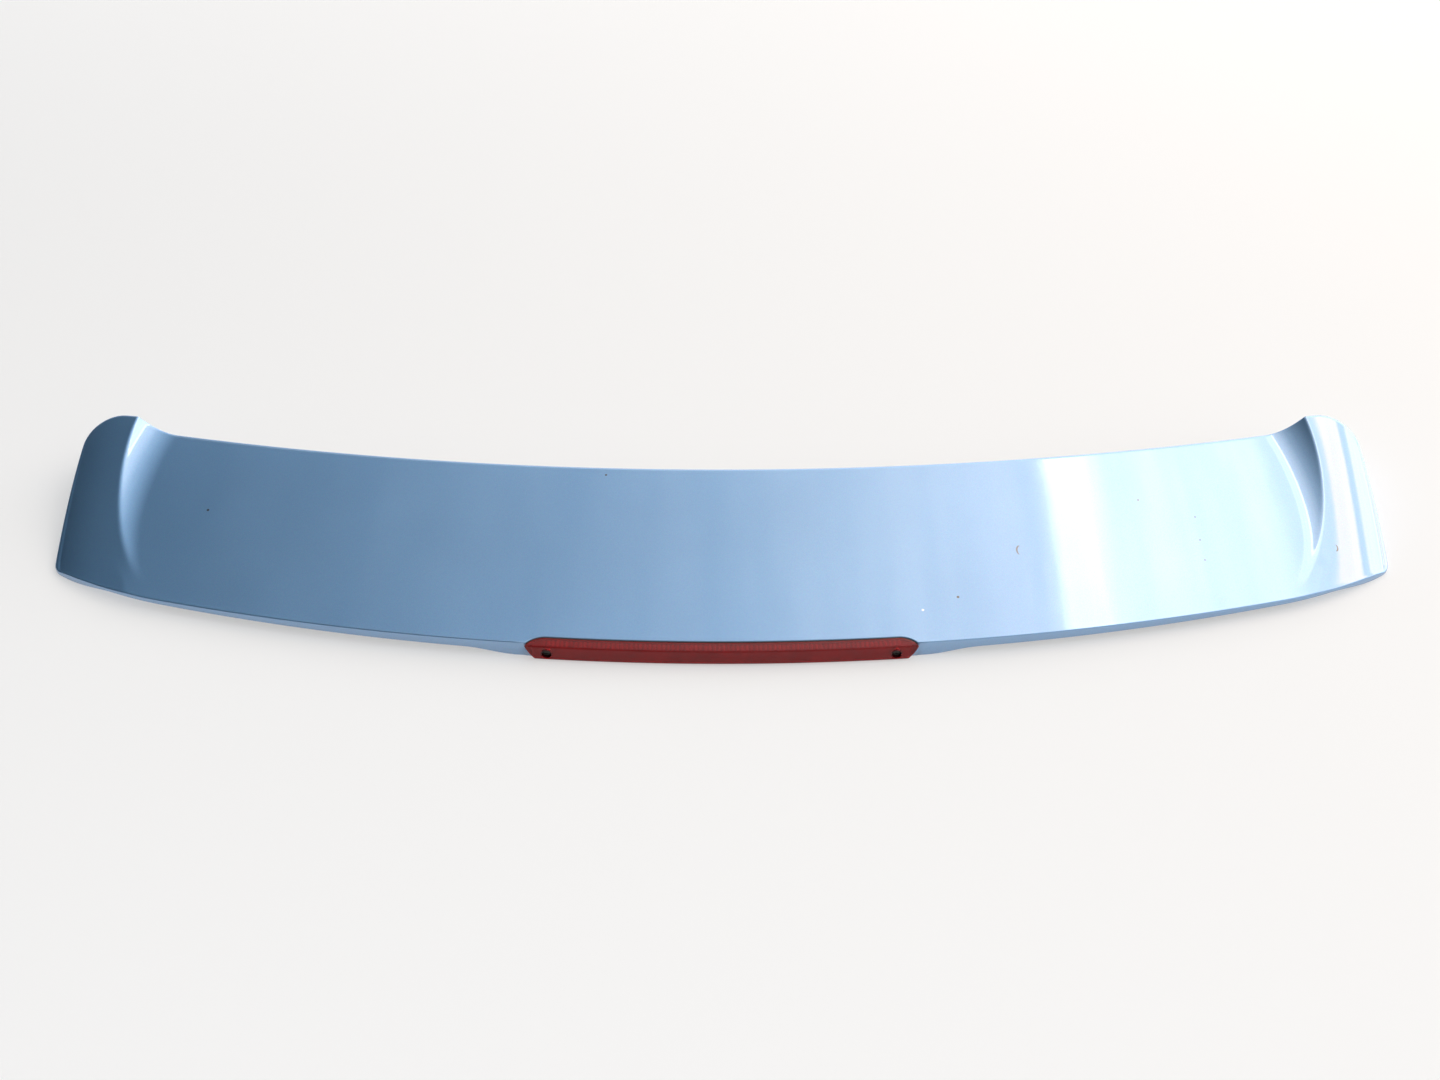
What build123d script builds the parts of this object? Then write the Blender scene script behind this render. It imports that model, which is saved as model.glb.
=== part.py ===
from build123d import *
from math import asin, atan2, comb, cos, degrees, hypot, radians, sin, sqrt, tan
from functools import cache
import os

import numpy as np

# Rear spoiler for a hatchback tailgate, lying as it rests on a floor. Millimetres, +Z up, +Y to the
# front of the car, X = 0 on the centre line. It stands on the lower edges of its two end ears and on
# the lamp pod in the middle of its trailing edge.

# Plan outline
overall_width = 1160.0
rear_edge_y = -127.8
rear_edge_radius = 1944.5
rear_end_inset = 100.0
rear_end_radius = 315.0
rear_corner_radius = 14.0
front_edge_y = 60.9
front_edge_radius = 2147.0
front_corner_radius = 30.0
ear_side_radius = 1000.0
ear_side_widest_y = -5.0

# Painted skin: crowned panel that climbs to the front
skin_wall = 3.0
trailing_edge_height = 15.5
panel_slope = 8.36
panel_bow_radius = 2270.0
crown_radius = 7500.0
front_open_inset = 80.0

# Raised ears at both ends, with a crease that hooks inwards and fades out towards the rear
ear_rise = 18.0
ear_rise_end = 0.3
ear_tip_y = 123.0
ear_fade_y = -63.0
ear_foot_inset = 70.0
ear_foot_hook = 33.0
ear_foot_hook_power = 6
ear_foot_lean = 21.5
ear_foot_lean_power = 3
ear_transition = 40.0
ear_foot_step = 0.05
ear_foot_stations = 13
ear_tilt = 0.08
ear_shoulder_drop = 6.0
ear_shoulder_power = 8
ear_inner_inset = 110.0
ear_rear_y = -75.0
ear_front_cut_height = 26.0
ear_front_cut_inset = 32.0
ear_front_cut_y = 60.0

# Lower edge of the skin, seen from behind
lip_bottom = 5.5
lip_bottom_end = 6.5
pod_margin = 7.6
pod_blend = 43.0
ear_lip_inset = 60.0
ear_foot_edge_inset = 12.0

# Third brake lamp, bent round the trailing edge
lamp_tip_reach = 18.4
lamp_top_end_reach = 0.8
lamp_lower_end_reach = 10.0
lamp_end_bulge = 1.2
lamp_top_band = 6.0
lamp_top_height = 16.4
lamp_proud = 2.2
lamp_lean = 2.4
lamp_crease_height = 13.8
lamp_bottom_height = 1.5
lens_wall = 2.5
lens_crease_wall = 2.0
lamp_gap = 1.0
gasket_clearance = 0.1
gasket_recess = 0.4
gasket_bottom = 0.6
flute_pitch = 3.85
flute_width = 1.7
flute_depth = 1.0
flute_reach = 3.4
flute_end_inset = 1.0

lamp_screw_height = 6.6
lamp_screw_head_radius = 3.4
lamp_screw_head_height = 2.2
lamp_screw_radius = 1.9
lamp_screw_length = 18.0
lamp_screw_recess_radius = 4.1
lamp_screw_recess = 3.0
lamp_screw_hole_radius = 2.3
lamp_tower_radius = 4.6
lamp_seat_gap = 0.1
nut_length = 12.0
nut_height = 9.0
nut_wall = 1.0
nut_boss_radius = 3.2
nut_boss_height = 1.2
nut_hole_radius = 2.0
nut_window_x = 8.0
nut_window_depth = 12.0

housing_half_x = 135.0
housing_wall = 2.0
housing_front = 25.0
housing_top = 11.6
housing_bottom = 2.2
housing_rear = 0.6
socket_half_x = 12.0
socket_length = 9.0
socket_wall = 1.5
socket_top = 11.0
socket_bottom = 4.2
socket_clearance = 0.8

board_front = 11.0
board_wall = 1.6
board_clearance = 0.2
board_end_clearance = 3.0
reflector_front = 9.0
reflector_wall = 1.2
reflector_clearance = 0.2
led_count = 16
led_end_inset = 6.0
led_height = 6.9
led_radius = 2.0
led_flange_radius = 2.3
led_flange = 1.0
led_length = 6.0

# Black inner panel: a tray under the skin with a flange bonded to it
tray_wall = 2.5
bond_gap = 0.3
tray_side_inset = 100.0
tray_front_margin = 26.0
flange_width = 12.0
tray_floor_height = 4.0
tray_flat_depth = 75.0
tray_climb = 0.27
lip_clearance = 0.5
well_clearance = 2.5
well_end_reach = 14.0
well_end_depth = 12.0
well_wall = 2.5
panel_joint_x = 272.0
panel_joint_gap = 0.4

# Fixings to the tailgate
inner_stud_x = 150.0
inner_stud_y = 25.0
outer_stud_x = 400.0
outer_stud_y = 57.0
stud_seat = 18.5
stud_radius = 3.0
stud_thread_length = 13.0
stud_tip_chamfer = 0.8
stud_neck_radius = 4.0
stud_clearance = 0.3
stud_head_radius = 8.0
stud_head_height = 2.0
stud_seat_wall = 4.0
boss_radius = 11.0
boss_height = 8.0
washer_radius = 10.0
washer_height = 3.5

# Push-in clip in each ear
clip_inset = 27.0
clip_y = 76.0
bracket_height = 12.0
bracket_wall = 2.5
bracket_half_length = 16.0
bracket_width = 38.7
bracket_flange_bottom = 4.0
clip_neck_radius = 3.5
clip_clearance = 0.2
clip_head_radius = 7.0
clip_head_height = 1.6
clip_shank_radius = 4.6
clip_tip_radius = 1.6
clip_barb_height = 3.0
clip_length = 10.5

# Soft strips and the grommet for the lamp's lead
seal_margin = 4.0
seal_width = 9.0
seal_height = 5.0
seal_inset = 110.0
pad_x = 290.0
pad_back = 35.0
pad_length = 80.0
pad_width = 20.0
pad_height = 3.0
pad_gap = 0.2
grommet_x = 60.0
grommet_back = 52.0
grommet_hole_radius = 9.0
grommet_flange_radius = 12.0
grommet_flange = 1.6
grommet_bore_radius = 4.0
grommet_clearance = 0.2

# Room round the part for the blanks that are cut to shape
reach_margin = 22.0
reach_down = 60.0
reach_up = 80.0
match = 0.5

half_width = overall_width / 2
rear_centre_y = rear_edge_y + rear_edge_radius
front_arch = front_edge_radius - sqrt(front_edge_radius**2 - half_width**2)
reach_x = half_width + reach_margin
reach_y = max(front_edge_y + front_arch, -rear_edge_y) + reach_margin
rear_end_x = half_width - rear_end_inset
front_open_x = half_width - front_open_inset
ear_foot_x = half_width - ear_foot_inset
ear_inner_x = half_width - ear_inner_inset
ear_front_cut_x = half_width - ear_front_cut_inset
ear_lip_x = half_width - ear_lip_inset
ear_foot_edge_x = half_width - ear_foot_edge_inset
tray_side_x = half_width - tray_side_inset
clip_x = half_width - clip_inset
skin_under = skin_wall + bond_gap
well_half_x = housing_half_x + well_clearance
well_depth = housing_front + well_clearance
lamp_screw_x = well_half_x + well_wall + nut_length / 2
well_end_half_x = lamp_screw_x + well_end_reach
lamp_top_end_x = lamp_screw_x + lamp_top_end_reach
lamp_lower_end_x = lamp_screw_x + lamp_lower_end_reach
lamp_tip_x = lamp_screw_x + lamp_tip_reach
pod_half_width = lamp_tip_x + pod_margin
flute_half_x = housing_half_x - flute_end_inset
board_half_x = housing_half_x - housing_wall - board_end_clearance
led_half_x = board_half_x - led_end_inset
lamp_rear = lamp_proud + lamp_lean
lamp_screw_face = lamp_proud + lamp_lean * (lamp_crease_height - lamp_screw_height) / (
    lamp_crease_height - lamp_bottom_height
)
lamp_tower_length = lamp_screw_face + well_end_depth - lamp_seat_gap
stud_places = [
    (side * x, y)
    for x, y in ((inner_stud_x, inner_stud_y), (outer_stud_x, outer_stud_y))
    for side in (-1, 1)
]
sides = {"left": -1, "right": 1}


# Heights of the outer surface
def panel_z(x, y):
    climb = tan(radians(panel_slope)) * (y - rear_edge_y)
    bow = (y**2 - rear_edge_y**2) / (2 * panel_bow_radius)
    return trailing_edge_height + climb - bow - x**2 / (2 * crown_radius)


def ear_place(y):
    return (y - ear_fade_y) / (ear_tip_y - ear_fade_y)


def ear_height(y):
    place = ear_place(y)
    return ear_rise_end + (ear_rise - ear_rise_end) * (2 * place**2 - place**3)


def ear_foot(y):
    place = ear_place(y)
    hook = ear_foot_hook * (1 - place) ** ear_foot_hook_power
    return ear_foot_x - hook - ear_foot_lean * place**ear_foot_lean_power


def transition_z(x, y):
    steepness = ear_rise / ear_transition**2
    return panel_z(x, y) - ear_foot_step + steepness * (x - ear_foot(y)) ** 2


def ear_top_z(x, y):
    out = (x - ear_inner_x) / (half_width - ear_inner_x)
    tilt = ear_tilt * (x - ear_foot_x)
    roll = ear_shoulder_drop * out**ear_shoulder_power
    return panel_z(x, y) + ear_height(y) - tilt - roll


# Plan position of the trailing edge
def rear_y(x):
    return rear_centre_y - sqrt(rear_edge_radius**2 - x**2)


# A single polynomial patch that follows a height over a rectangle exactly
def height_patch(height, x_span, y_span, x_degree, y_degree):
    def ladder(span, degree):
        return [span[0] + (span[1] - span[0]) * i / degree for i in range(degree + 1)]

    def basis(degree):
        steps = np.linspace(0, 1, degree + 1)
        terms = range(degree + 1)
        return np.array([[comb(degree, k) * t**k * (1 - t) ** (degree - k) for k in terms] for t in steps])

    xs = ladder(x_span, x_degree)
    ys = ladder(y_span, y_degree)
    samples = np.array([[height(x, y) for y in ys] for x in xs])
    net = np.linalg.solve(basis(x_degree), samples)
    net = np.linalg.solve(basis(y_degree), net.T).T
    rows = [[(x, y, net[i][j]) for j, y in enumerate(ys)] for i, x in enumerate(xs)]
    return Face.make_bezier_surface(rows)


# Both points where two circles cross
def circles_meet(centre_a, radius_a, centre_b, radius_b):
    dx, dy = centre_b[0] - centre_a[0], centre_b[1] - centre_a[1]
    distance = hypot(dx, dy)
    along = (radius_a**2 - radius_b**2 + distance**2) / (2 * distance)
    off = sqrt(radius_a**2 - along**2)
    foot = (centre_a[0] + along * dx / distance, centre_a[1] + along * dy / distance)
    return [(foot[0] - k * off * dy / distance, foot[1] + k * off * dx / distance) for k in (-1, 1)]


def bearing(centre, point):
    return degrees(atan2(point[1] - centre[1], point[0] - centre[0]))


# Plan outline: arcs along the rear, the front and both ear sides, all drawn in by an inset
def plan_outline(inset=0.0):
    turn = rear_end_x / rear_edge_radius
    start = degrees(asin(turn))
    end_reach = rear_edge_radius - rear_end_radius
    end_centre = (turn * end_reach, rear_centre_y - sqrt(1 - turn**2) * end_reach)
    end_radius = rear_end_radius - inset
    front_centre = (0, front_edge_y + front_edge_radius)
    front_radius = front_edge_radius + inset
    side_centre = (half_width - ear_side_radius, ear_side_widest_y)
    side_radius = ear_side_radius - inset
    rear_corner = min(
        circles_meet(end_centre, end_radius, side_centre, side_radius), key=lambda point: point[1]
    )
    front_corner = max(
        circles_meet(front_centre, front_radius, side_centre, side_radius), key=lambda point: point[0]
    )
    end_turn = bearing(end_centre, rear_corner) + 90 - start
    front_turn = degrees(asin(front_corner[0] / front_radius))
    side_start = bearing(side_centre, rear_corner)
    side_turn = bearing(side_centre, front_corner) - side_start
    with BuildSketch() as plan:
        with BuildLine():
            CenterArc((0, rear_centre_y), rear_edge_radius - inset, 270 - start, 2 * start)
            CenterArc(end_centre, end_radius, 270 + start, end_turn)
            CenterArc((-end_centre[0], end_centre[1]), end_radius, 270 - start - end_turn, end_turn)
            CenterArc(front_centre, front_radius, 270 - front_turn, 2 * front_turn)
            CenterArc(side_centre, side_radius, side_start, side_turn)
            left_start = 180 - side_start - side_turn
            CenterArc((-side_centre[0], side_centre[1]), side_radius, left_start, side_turn)
        make_face()
        corners = plan.vertices().filter_by(lambda v: abs(v.X) > ear_foot_x)
        fillet(corners.sort_by(Axis.Y)[-2:], max(front_corner_radius - inset, match))
        corners = plan.vertices().filter_by(lambda v: abs(v.X) > ear_foot_x)
        fillet(corners.sort_by(Axis.Y)[:2], max(rear_corner_radius - inset, match))
    return plan.sketch


# Plan area outboard of the ear's foot line, on the right
def ear_area(inset):
    stations = np.linspace(ear_rear_y, reach_y, ear_foot_stations)
    with BuildSketch() as area:
        with BuildLine():
            foot = Spline([(ear_foot(y) + inset / 2, y) for y in stations])
            Polyline(foot @ 1, (reach_x, reach_y), (reach_x, ear_rear_y), foot @ 0)
        make_face()
    return area.sketch


# Everything below the outer surface, lowered by an inset that also moves the ears outwards
@cache
def below_surface(inset):
    shift = inset / 2
    panel = height_patch(
        lambda x, y: panel_z(x, y) - inset, (-reach_x, reach_x), (-reach_y, reach_y), 2, 2
    )
    ear_span = ((ear_inner_x, reach_x), (ear_rear_y, reach_y))
    foot_degree = 2 * max(ear_foot_hook_power, ear_foot_lean_power)
    transition = height_patch(lambda x, y: transition_z(x - shift, y) - inset, *ear_span, 2, foot_degree)
    ear_top = height_patch(lambda x, y: ear_top_z(x + inset, y) - inset, *ear_span, ear_shoulder_power, 3)
    with BuildPart() as ear:
        with BuildSketch(Plane.XY.offset(-reach_down / 2)):
            add(ear_area(inset))
        extrude(amount=reach_down / 2 + reach_up)
        extrude(transition, amount=reach_down + reach_up, dir=(0, 0, -1), mode=Mode.INTERSECT)
        extrude(ear_top, amount=reach_down + reach_up, dir=(0, 0, -1), mode=Mode.INTERSECT)
    with BuildPart() as body:
        extrude(panel, amount=reach_down, dir=(0, 0, -1))
        with BuildSketch(Plane.XY.offset(-2 * reach_down)) as sides:
            add(ear_area(inset))
            mirror(about=Plane.YZ)
        extrude(amount=3 * reach_down + reach_up, mode=Mode.SUBTRACT)
        add(ear.part)
        add(ear.part.mirror(Plane.YZ))
    return body.part


def skin_blank(inset):
    with BuildPart() as blank:
        with BuildSketch(Plane.XY.offset(-reach_down / 4)):
            add(plan_outline(inset))
        extrude(amount=reach_down / 4 + reach_up)
        add(below_surface(inset), mode=Mode.INTERSECT)
    return blank.part


# Hollow of the skin: open along the front between the ears
@cache
def skin_cavity():
    with BuildPart() as cavity:
        with BuildSketch(Plane.XY.offset(-reach_down / 4)):
            add(plan_outline(skin_wall))
            with Locations((0, front_edge_y / 2)):
                Rectangle(2 * front_open_x, reach_y, align=(Align.CENTER, Align.MIN))
        extrude(amount=reach_down / 4 + reach_up)
        add(below_surface(skin_wall), mode=Mode.INTERSECT)
    return cavity.part


# Layer under the skin, from one depth to another
def under_layer(shallow, deep):
    with BuildPart() as layer:
        add(below_surface(shallow))
        add(below_surface(deep), mode=Mode.SUBTRACT)
        with Locations((0, 0, -reach_down)):
            Box(2 * reach_x, 2 * reach_y, 2 * reach_down, mode=Mode.SUBTRACT)
    return layer.part


# Plan band that keeps its distance from the trailing edge: front is how far ahead of it, rear how far behind
def lamp_band(half_x, front, rear):
    with BuildSketch() as band:
        with BuildLine():
            lines = []
            for radius in (rear_edge_radius - front, rear_edge_radius + rear):
                turn = degrees(asin(half_x / radius))
                lines.append(CenterArc((0, rear_centre_y), radius, 270 - turn, 2 * turn))
            Line(lines[0] @ 0, lines[1] @ 0)
            Line(lines[0] @ 1, lines[1] @ 1)
        make_face()
    return band.sketch


# Plane across the trailing edge at x, facing out to the rear
def lamp_plane(x, out, height):
    turn = asin(x / rear_edge_radius)
    radius = rear_edge_radius + out
    origin = (radius * sin(turn), rear_centre_y - radius * cos(turn), height)
    return Plane(origin, x_dir=(cos(turn), sin(turn), 0), z_dir=(sin(turn), -cos(turn), 0))


# Space that the lens fills, grown by a gap: its outline from above and from behind
def lamp_block(gap):
    turn = degrees(asin(lamp_top_end_x / (rear_edge_radius - lamp_top_band)))
    tip_y = rear_y(lamp_tip_x) - lamp_proud
    with BuildPart() as block:
        with BuildSketch(Plane.XY.offset(-reach_down / 4)):
            with BuildLine():
                radius = rear_edge_radius - lamp_top_band
                front = CenterArc((0, rear_centre_y), radius, 270 - turn, 2 * turn)
                right = TangentArc(front @ 1, (lamp_tip_x, tip_y), tangent=front % 1)
                left = TangentArc(front @ 0, (-lamp_tip_x, tip_y), tangent=(front % 0) * -1)
                Polyline(right @ 1, (lamp_tip_x, -reach_y), (-lamp_tip_x, -reach_y), left @ 1)
            make_face()
            if gap:
                offset(amount=gap, mode=Mode.REPLACE)
        extrude(amount=reach_down)
        with BuildSketch(Plane.XZ.offset(reach_y)):
            with BuildLine():
                bulge = (lamp_tip_x + lamp_lower_end_x) / 2 + lamp_end_bulge
                middle = (lamp_crease_height + lamp_bottom_height) / 2
                for side in (-1, 1):
                    tip = (side * lamp_tip_x, lamp_crease_height)
                    low = (side * lamp_lower_end_x, lamp_bottom_height)
                    ThreePointArc(tip, (side * bulge, middle), low)
                    Line(tip, (side * lamp_tip_x, reach_up))
                    Line(low, (side * lamp_lower_end_x, -reach_down))
                Line((-lamp_tip_x, reach_up), (lamp_tip_x, reach_up))
                Line((-lamp_lower_end_x, -reach_down), (lamp_lower_end_x, -reach_down))
            make_face()
            if gap:
                offset(amount=gap, mode=Mode.REPLACE)
        extrude(amount=-reach_y, mode=Mode.INTERSECT)
    return block.part


# Ring section turned about the trailing edge's own centre, drawn as (distance behind the edge, height)
def lamp_turned(points):
    turn = degrees(asin(lamp_tip_x / rear_edge_radius)) + match
    start = radians(turn)
    axis = Axis((0, rear_centre_y, 0), (0, 0, 1))
    toward = (-sin(start), -cos(start), 0)
    plane = Plane((0, rear_centre_y, 0), x_dir=toward, z_dir=(-cos(start), sin(start), 0))
    with BuildPart() as ring:
        with BuildSketch(plane):
            with BuildLine():
                Polyline([(rear_edge_radius + out, height) for out, height in points], close=True)
            make_face()
        revolve(axis=axis, revolution_arc=2 * turn)
    return ring.part


# Plan of the tray, kept back from the front edge and from the sides
def tray_area(front_margin, side_x, rear_inset):
    turn = degrees(asin(side_x / front_edge_radius))
    with BuildSketch() as area:
        add(plan_outline(rear_inset))
        with BuildSketch(mode=Mode.INTERSECT):
            with BuildLine():
                centre = (0, front_edge_y - front_margin + front_edge_radius)
                front = CenterArc(centre, front_edge_radius, 270 - turn, 2 * turn)
                Polyline(front @ 1, (side_x, -reach_y), (-side_x, -reach_y), front @ 0)
            make_face()
    return area.sketch


def tray_slope_z(x, y):
    arch = x**2 / (2 * rear_edge_radius)
    return tray_floor_height + tray_climb * (y - rear_edge_y - arch - tray_flat_depth)


# Space above the tray's underside, raised by a wall
def above_tray(lift):
    slope = height_patch(
        lambda x, y: tray_slope_z(x, y) + lift, (-reach_x, reach_x), (-reach_y, reach_y), 2, 1
    )
    with BuildPart() as space:
        extrude(slope, amount=3 * reach_up, dir=(0, 0, 1))
        with Locations((0, 0, tray_floor_height + lift)):
            Box(
                2 * reach_x,
                2 * reach_y,
                reach_up,
                align=(Align.CENTER, Align.CENTER, Align.MIN),
                mode=Mode.INTERSECT,
            )
    return space.part


def well_area(grow):
    with BuildSketch() as area:
        add(lamp_band(well_half_x + grow, well_depth + grow, reach_down / 2))
        add(lamp_band(well_end_half_x + grow, well_end_depth + grow, reach_down / 2))
    return area.sketch


# Painted outer skin with its lip, ears and lamp cut-out
with BuildPart() as outer_skin:
    add(skin_blank(0))
    add(skin_cavity(), mode=Mode.SUBTRACT)
    with BuildSketch(Plane.XZ.offset(-reach_y)) as below_lip:
        with BuildLine():
            for side in (-1, 1):
                blend_end = pod_half_width + pod_blend
                pod_mid = pod_half_width + pod_blend / 2
                ear_mid = (ear_lip_x + ear_foot_edge_x) / 2
                Line((0, 0), (side * pod_half_width, 0))
                Bezier(
                    (side * pod_half_width, 0),
                    (side * pod_mid, 0),
                    (side * pod_mid, lip_bottom),
                    (side * blend_end, lip_bottom),
                )
                Line((side * blend_end, lip_bottom), (side * ear_lip_x, lip_bottom_end))
                Bezier(
                    (side * ear_lip_x, lip_bottom_end),
                    (side * ear_mid, lip_bottom_end),
                    (side * ear_mid, 0),
                    (side * ear_foot_edge_x, 0),
                )
                Polyline(
                    (side * ear_foot_edge_x, 0),
                    (side * reach_x, 0),
                    (side * reach_x, -reach_down),
                    (0, -reach_down),
                )
        make_face()
    extrude(amount=2 * reach_y, mode=Mode.SUBTRACT)
    with BuildSketch(Plane.XZ.offset(-reach_y)) as ear_fronts:
        for side in (-1, 1):
            with BuildLine():
                Polyline(
                    (side * ear_inner_x, -reach_down),
                    (side * ear_inner_x, ear_front_cut_height),
                    (side * front_open_x, ear_front_cut_height),
                    (side * ear_front_cut_x, 0),
                    (side * ear_front_cut_x, -reach_down),
                    close=True,
                )
            make_face()
    extrude(amount=reach_y - ear_front_cut_y, mode=Mode.SUBTRACT)
    add(lamp_block(lamp_gap), mode=Mode.SUBTRACT)

# Red lens: top band, crease and rear band in one shell, fluted inside, with two screw towers
lens_section = [
    (-lamp_top_band, lamp_top_height),
    (lamp_proud, lamp_crease_height),
    (lamp_rear, lamp_bottom_height),
    (lamp_rear - lens_wall, lamp_bottom_height),
    (lamp_proud - lens_wall, lamp_crease_height - lens_crease_wall),
    (-lamp_top_band, lamp_top_height - lens_wall),
]
lens_inner_fall = (lens_section[5][1] - lens_section[4][1]) / (lens_section[4][0] - lens_section[5][0])
flute_end = flute_reach - lamp_top_band
flute_section = [
    (-lamp_top_band, lens_section[5][1]),
    (flute_end, lens_section[5][1] - lens_inner_fall * flute_reach),
    (flute_end, lens_section[5][1] - lens_inner_fall * flute_reach - flute_depth),
    (-lamp_top_band, lens_section[5][1] - flute_depth),
]
flute_gaps = round(2 * flute_half_x / flute_pitch)
flute_turn = degrees(asin(flute_half_x / rear_edge_radius))
with BuildPart() as flutes:
    with BuildSketch():
        with Locations((0, rear_centre_y)):
            spread = (270 - flute_turn, 2 * flute_turn)
            with PolarLocations(rear_edge_radius, flute_gaps + 1, *spread, endpoint=True):
                Rectangle(4 * lamp_top_band, flute_width)
    extrude(amount=reach_down)
    add(lamp_turned(flute_section), mode=Mode.INTERSECT)

with BuildPart() as lamp_lens:
    add(lamp_turned(lens_section))
    add(lamp_block(0), mode=Mode.INTERSECT)
    add(flutes.part)
    for side in sides.values():
        face = lamp_plane(side * lamp_screw_x, lamp_screw_face, lamp_screw_height)
        with BuildSketch(face.offset(-lamp_tower_length)):
            Circle(lamp_tower_radius)
        extrude(amount=lamp_tower_length - lens_wall / 2)
    for side in sides.values():
        face = lamp_plane(side * lamp_screw_x, lamp_screw_face, lamp_screw_height)
        with Locations(face):
            CounterBoreHole(
                lamp_screw_hole_radius,
                lamp_screw_recess_radius,
                lamp_screw_recess,
                2 * lamp_tower_length,
            )
        with BuildSketch(face):
            Circle(lamp_screw_recess_radius)
        extrude(amount=lamp_rear, mode=Mode.SUBTRACT)

# Foam gasket that fills the joint round the lens
with BuildPart() as lamp_gasket:
    add(lamp_block(lamp_gap - gasket_clearance))
    add(lamp_block(gasket_clearance), mode=Mode.SUBTRACT)
    add(skin_blank(gasket_recess), mode=Mode.INTERSECT)
    add(skin_cavity(), mode=Mode.SUBTRACT)
    split(bisect_by=Plane.XY.offset(gasket_bottom), keep=Keep.TOP)

# Lamp housing: a curved trough behind the lens with a plug socket on its front wall
with BuildPart() as lamp_housing:
    with BuildSketch(Plane.XY.offset(housing_bottom)):
        add(lamp_band(housing_half_x, housing_front, -housing_rear))
    extrude(amount=housing_top - housing_bottom)
    with BuildSketch(Plane.XY.offset(housing_bottom + housing_wall)):
        add(lamp_band(housing_half_x - housing_wall, housing_front - housing_wall, 0))
    extrude(amount=housing_top - housing_bottom - 2 * housing_wall, mode=Mode.SUBTRACT)
    with BuildSketch(Plane.XY.offset(socket_bottom)):
        add(lamp_band(socket_half_x, housing_front + socket_length, -housing_front))
    extrude(amount=socket_top - socket_bottom)
    with BuildSketch(Plane.XY.offset(socket_bottom + socket_wall)):
        add(lamp_band(socket_half_x - socket_wall, housing_front + socket_length, -housing_front))
    extrude(amount=socket_top - socket_bottom - 2 * socket_wall, mode=Mode.SUBTRACT)

# Light board and the reflector strip in front of it
inside_bottom = housing_bottom + housing_wall + board_clearance
inside_top = housing_top - housing_wall - board_clearance
led_planes = [
    lamp_plane(led_half_x * (2 * i / (led_count - 1) - 1), -board_front, led_height) for i in range(led_count)
]
with BuildPart() as lamp_board:
    with BuildSketch(Plane.XY.offset(inside_bottom)):
        add(lamp_band(board_half_x, board_front + board_wall, -board_front))
    extrude(amount=inside_top - inside_bottom)

with BuildPart() as lamp_reflector:
    with BuildSketch(Plane.XY.offset(inside_bottom)):
        add(lamp_band(board_half_x, reflector_front, reflector_wall - reflector_front))
    extrude(amount=inside_top - inside_bottom)
    for plane in led_planes:
        with BuildSketch(plane):
            Circle(led_radius + reflector_clearance)
        extrude(amount=led_length, mode=Mode.SUBTRACT)


def led(plane):
    with BuildPart() as lamp:
        with BuildSketch(plane):
            Circle(led_flange_radius)
        extrude(amount=led_flange)
        with BuildSketch(plane):
            Circle(led_radius)
        extrude(amount=led_length - led_radius)
        with Locations(plane.offset(led_length - led_radius)):
            Sphere(led_radius)
    return lamp.part


# Two screws hold the lamp to the inner panel, each in a pressed sheet nut
with BuildPart() as lamp_screws:
    for side in sides.values():
        seat = lamp_plane(side * lamp_screw_x, lamp_screw_face - lamp_screw_recess, lamp_screw_height)
        with BuildSketch(seat):
            Circle(lamp_screw_head_radius)
        extrude(amount=lamp_screw_head_height)
        with BuildSketch(seat):
            Circle(lamp_screw_radius)
        extrude(amount=-lamp_screw_length)


def lamp_nut(side):
    back = -well_end_depth - well_wall - lamp_seat_gap
    plane = lamp_plane(side * lamp_screw_x, back, lamp_screw_height)
    with BuildPart() as nut:
        with BuildSketch(plane):
            Rectangle(nut_length, nut_height)
        extrude(amount=-nut_wall)
        with BuildSketch(plane):
            Circle(nut_boss_radius)
        extrude(amount=-nut_wall - nut_boss_height)
        with BuildSketch(plane):
            Circle(nut_hole_radius)
        extrude(amount=-nut_wall - nut_boss_height, mode=Mode.SUBTRACT)
    return nut.part


# Inner panel, moulded as one long tray in three sections
with BuildPart() as tray_blank:
    with BuildSketch():
        add(tray_area(tray_front_margin, tray_side_x, skin_wall + lip_clearance))
    extrude(amount=reach_up)
    add(above_tray(0), mode=Mode.INTERSECT)
    add(below_surface(skin_under), mode=Mode.INTERSECT)

with BuildPart() as flange:
    with BuildSketch():
        add(
            tray_area(
                tray_front_margin - flange_width, tray_side_x + flange_width, skin_wall + lip_clearance
            )
        )
        add(tray_area(tray_front_margin, tray_side_x, skin_wall + lip_clearance), mode=Mode.SUBTRACT)
    extrude(amount=reach_up)
    add(under_layer(skin_under, skin_under + tray_wall), mode=Mode.INTERSECT)

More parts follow.
